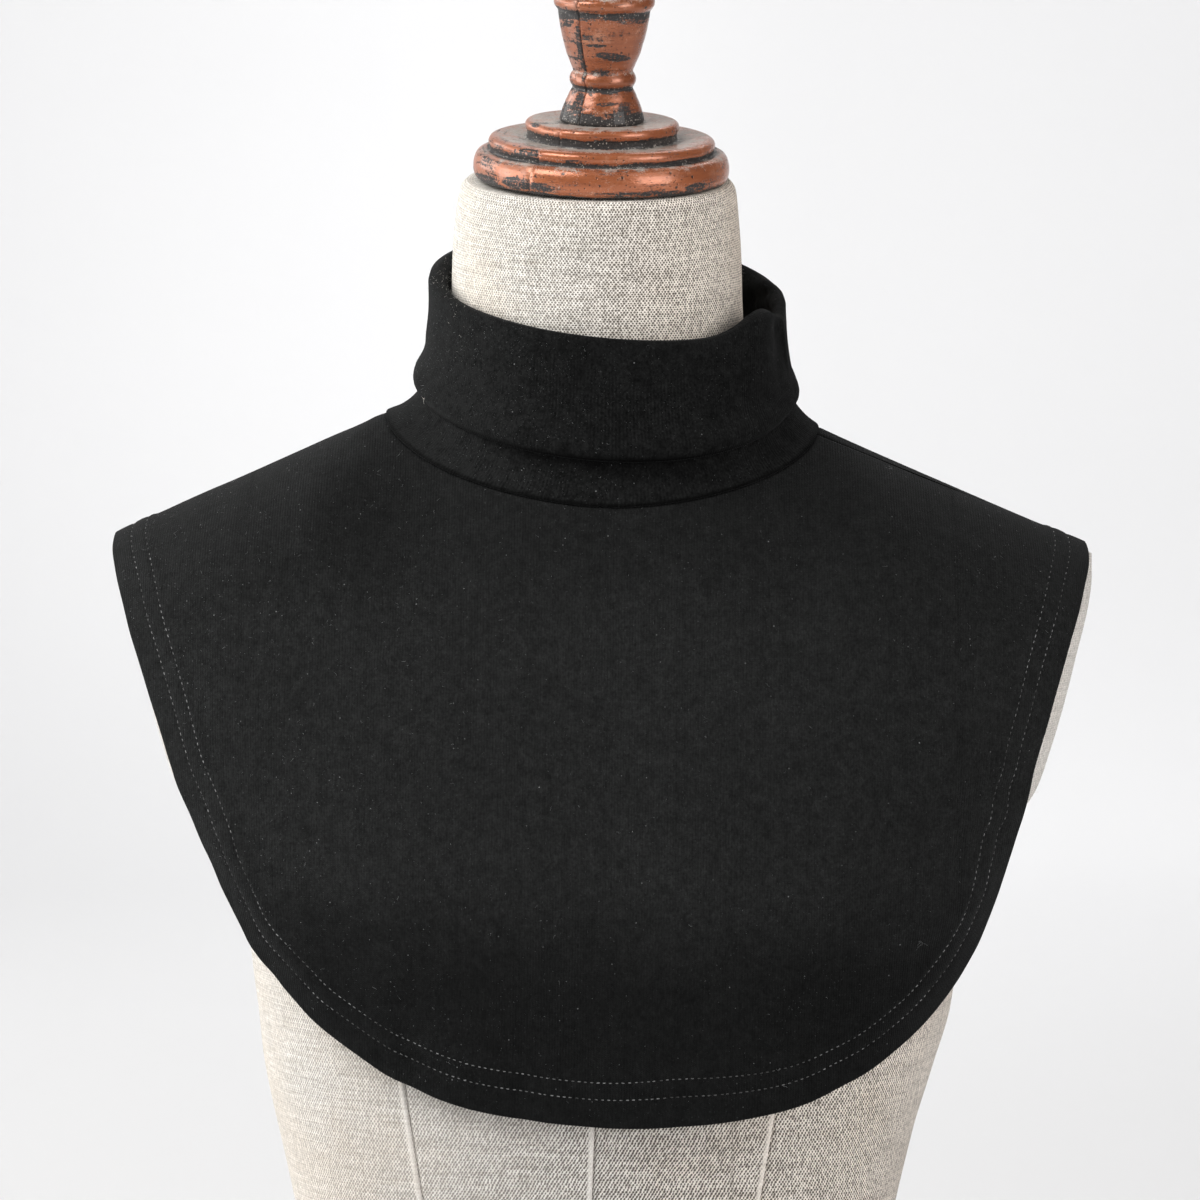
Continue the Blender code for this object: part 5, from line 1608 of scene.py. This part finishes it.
def stage():
    """A pale sweep: flat floor, then a wide curve up behind."""
    profile = [(-3.0, 0.0), (SWEEP_FROM, 0.0)]
    for k in range(1, 25):
        angle = math.pi / 2 * k / 24
        profile.append((SWEEP_FROM + SWEEP_RADIUS * math.sin(angle),
                        SWEEP_RADIUS * (1 - math.cos(angle))))
    profile += [(SWEEP_FROM + SWEEP_RADIUS, 6.0)]
    points = [(x, y, z - 0.0006) for y, z in profile for x in (-6.0, 6.0)]
    faces = quads(len(profile), 2)
    floor = add_mesh("floor", points, faces)
    floor.data.materials.append(stage_material("pale_sweep", (0.865, 0.865, 0.875)))


# ---------------------------------------------------------------- assembly

def finish_piece(piece, material, slot, *nodes):
    piece.data.materials.append(material)
    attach(piece, "root")
    if nodes:
        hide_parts(*nodes)


def front_lint_weight(points):
    """Lint gathers at the garment's right, along the hem and on the shoulders."""
    x, z = points[..., 0], points[..., 2]
    at_right = smoothstep(0.06, -0.17, x)
    on_shoulder = smoothstep(0.11, 0.17, np.abs(x)) * smoothstep(0.33, 0.42, z)
    low = smoothstep(0.26, 0.205, z)
    patches = unevenness(points, 0.06, 41).clip(0)
    return 0.16 + 1.3 * at_right + 1.5 * on_shoulder + 0.3 * low + 0.5 * patches


def collar_lint_weight(points):
    return 0.30 + 1.9 * smoothstep(0.035, -0.055, points[..., 0]) \
        + 0.6 * unevenness(points, 0.05, 43).clip(0)


def fringe_weight(points):
    """Only the inner side of the roll, beside the neck at the garment's right."""
    x, y = points[..., 0], points[..., 1]
    out = np.hypot(x - COLLAR_SHIFT, y)
    return smoothstep(-0.050, -0.060, x) * smoothstep(0.0685, 0.0655, out) + 1e-9


LITTER = {                                # specks, fibres, hairs, seed, weight, size, slot
    "front": (3000, 280, 2600, 51, front_lint_weight, 0.62, "black_jersey_front"),
    "back": (1300, 150, 1600, 54, None, 0.65, "black_jersey_back"),
    "collar": (4600, 110, 2200, 57, collar_lint_weight, 0.46, "black_jersey_collar"),
    "stand": (1000, 40, 500, 60, collar_lint_weight, 0.55, "black_jersey_collar"),
}


def litter(fine, parts, grey, black, flax):
    """Lint and standing nap on the three pieces of the garment."""
    some = 1.0 if fine else 0.3
    for part, (grid, normal) in parts:
        specks, fibres, hair_count, seed, weight, size, slot = LITTER[part]
        if part in ("collar", "stand"):
            grid, normal = grid.transpose(1, 0, 2), normal.transpose(1, 0, 2)
        for piece in lint(part + "_lint", grid, normal, int(specks * some), int(fibres * some),
                          seed, weight, size):
            finish_piece(piece, grey, slot)
        piece = nap(part + "_nap", grid, normal, int(hair_count * some), seed + 1,
                    (0.3 * MM, 0.9 * MM), 0.03 * MM)
        finish_piece(piece, black, slot)
        if part == "collar":
            piece = nap("collar_fringe", grid, normal, int(700 * some), seed + 2,
                        (0.7 * MM, 2.0 * MM), 0.045 * MM, fringe_weight, 0.8)
            finish_piece(piece, black, slot)
            piece = nap("fringe_linen", grid, normal, int(150 * some), seed + 3,
                        (0.4 * MM, 1.1 * MM), 0.07 * MM, fringe_weight, 0.8)
            finish_piece(piece, flax, slot)


FRONT_THREADS = (                         # x, height, how many, how long in mm
    (0.1140, 0.4430, 5, 1.6), (0.1235, 0.2639, 2, 6.0), (0.1250, 0.2614, 3, 2.5),
    (-0.0900, 0.3000, 1, 3.0), (0.0400, 0.3500, 1, 2.5),
)
COLLAR_THREADS = ((-0.0700, 0.4690, 9, 1.8),)
FIBRES = (                                # dark, pale, size of patches, roughness, sheen, gloss
    ("hem_thread", (0.012, 0.012, 0.012), (0.26, 0.265, 0.27), 45.0, 0.55, 0.2, 0.5),
    ("grey_lint", (0.07, 0.072, 0.075), (0.40, 0.41, 0.42), 90.0, 0.8, 0.1),
    ("black_nap", (0.010, 0.010, 0.010), (0.035, 0.036, 0.036), 60.0, 0.8, 0.1),
    # the cord in the neckline seam is near black, darker than the jersey: painted shade
    ("seam_fold_painted_shade", (0.0012, 0.0012, 0.0012), (0.006, 0.006, 0.006), 60.0, 0.95, 0.0, 0.03),
    ("flax_hair", (0.55, 0.52, 0.47), (0.86, 0.84, 0.80), 60.0, 0.7, 0.1),
)


def materials():
    made = {name: fibre_material(name, *look) for name, *look in FIBRES}
    made["front"] = knit_material("black_jersey", painted_shade_below=0.268, ribs=0.55, heather=1.2)
    made["back"] = knit_material("black_jersey_back", seed=3.0)
    # the collar's jersey is painted paler towards the garment's right (painted light)
    made["collar"] = knit_material(
        "black_jersey_collar", wale=1.10 * MM, seed=7.0, depth=0.57, ribs=0.30, heather=1.9,
        sheen=0.034, right=(-12 * MM, -64 * MM, 0.75), edges=(17 * MM, 66 * MM))
    made["trunk"] = linen_material("natural_linen_trunk", (0.775, 0.742, 0.695), 0.42, 0.05,
                                   0.30, 1.0, (50 * MM, 125 * MM))
    made["neck"] = linen_material("natural_linen_neck", (0.83, 0.795, 0.735), 0.42, 0.0, 0.0,
                                  1.35, (8 * MM, 52 * MM))
    return made


def garment(fine, made):
    """The two bibs, the collar, the seam under it, and their stitches, lint and nap."""
    bibs = {}
    for label, neck_path, hem, side, size, creases in (
        ("front", 0, FRONT_HEM, 1, (330, 110) if fine else (150, 40), FRONT_CREASES),
        ("back", 1, BACK_HEM, -1, (240, 80) if fine else (110, 30), BACK_CREASES),
    ):
        bibs[label] = bib(label + "_bib_cloth", neckline_parts()[neck_path], hem_path(hem, side),
                          side, *size, creases)
        finish_piece(bibs[label][0], made[label], "black_jersey_" + label, label + "_bib")
    (front, *front_face), (back, *back_face) = bibs["front"], bibs["back"]
    strip, turned, standing = collar("collar_cloth", 360 if fine else 160, fine)
    finish_piece(strip, made["collar"], "black_jersey_collar", "collar")

    seam = neckline_seam("neckline_seam", 360 if fine else 160)
    finish_piece(seam, made["seam_fold_painted_shade"], "black_jersey_collar")
    columns = [int(np.argmin(np.abs(HEM_ROWS - place))) - len(HEM_ROWS) for place in STITCH_ROWS]
    for label, (grid, normal), seed in (("front", front_face, 31), ("back", back_face, 32)):
        rows = [(grid[3:-3, k], normal[3:-3, k]) for k in columns]
        piece = stitches(label + "_hem_stitches", rows, STITCH_PITCH, 1.68 * MM, 0.16 * MM, seed)
        finish_piece(piece, made["hem_thread"], "black_jersey_" + label)
    litter(fine, (("front", front_face), ("back", back_face), ("collar", turned),
                  ("stand", standing)), made["grey_lint"], made["black_nap"], made["flax_hair"])
    return front, back, strip, front_face, turned


def caught_threads(front_face, turned, made):
    for name, face, spots, seed, material, slot in (
        ("front_threads", front_face, FRONT_THREADS, 63, "grey_lint", "black_jersey_front"),
        ("collar_threads", turned, COLLAR_THREADS, 64, "flax_hair", "black_jersey_collar"),
    ):
        finish_piece(tangles(name, *face, spots, seed), made[material], slot)


def linen_form(fine, made):
    """The trunk and the neck, with the flax ends that stand off them."""
    levels = np.concatenate([np.linspace(0.0, 0.28, 60 if fine else 24), np.linspace(
        0.284, 0.33, 18 if fine else 9), np.linspace(0.335, FORM_TOP_Z, 44 if fine else 22)])
    trunk = torso("linen_trunk", levels, 26 if fine else 10)
    finish_piece(trunk, made["trunk"], "linen_torso", "form_torso")
    covered_neck, grid = neck("linen_neck", 240 if fine else 96, 60 if fine else 24)
    finish_piece(covered_neck, made["neck"], "linen_neck", "form_neck")
    rows = grid[:-8].transpose(1, 0, 2)                       # below the rounded top edge
    fuzz = nap("neck_flax_hairs", rows, grid_normals(rows, rows * np.array([1.0, 1.0, 0.0])),
               900 if fine else 250, 61, (0.5 * MM, 1.5 * MM), 0.028 * MM)
    finish_piece(fuzz, made["flax_hair"], "linen_neck")
    finish_piece(arm_hairs("arm_flax_hairs", 90 if fine else 30, 62), made["flax_hair"],
                 "linen_torso")


def turnings(fine):
    """The cap and the finial."""
    for label, node, profile, marks, streaks, brown, foot, step in (
        ("cap", "neck_cap", CAP_PROFILE, CAP_MARKS, (0.63, 0.71), 0.90, TURNING_GAP, -0.30 * MM),
        ("finial", "finial", FINIAL_PROFILE, FINIAL_MARKS, (0.62, 0.70), 0.72,
         FINIAL_FOOT + TURNING_GAP, 0.40 * MM),
    ):
        paint = copper_material("copper_brown_" + label, max(row[0] for row in profile), marks,
                                streaks, brown)
        piece = turning(label + "_paint", profile, foot, 220 if fine else 90, step,
                        0.7 * MM if fine else 1.4 * MM)
        finish_piece(piece, paint, "copper_brown_" + label, node)


def main():
    camera()
    light()
    stage()
    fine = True
    made = materials()
    front, back, strip, front_face, turned = garment(fine, made)
    linen_form(fine, made)
    caught_threads(front_face, turned, made)
    turnings(fine)


main()
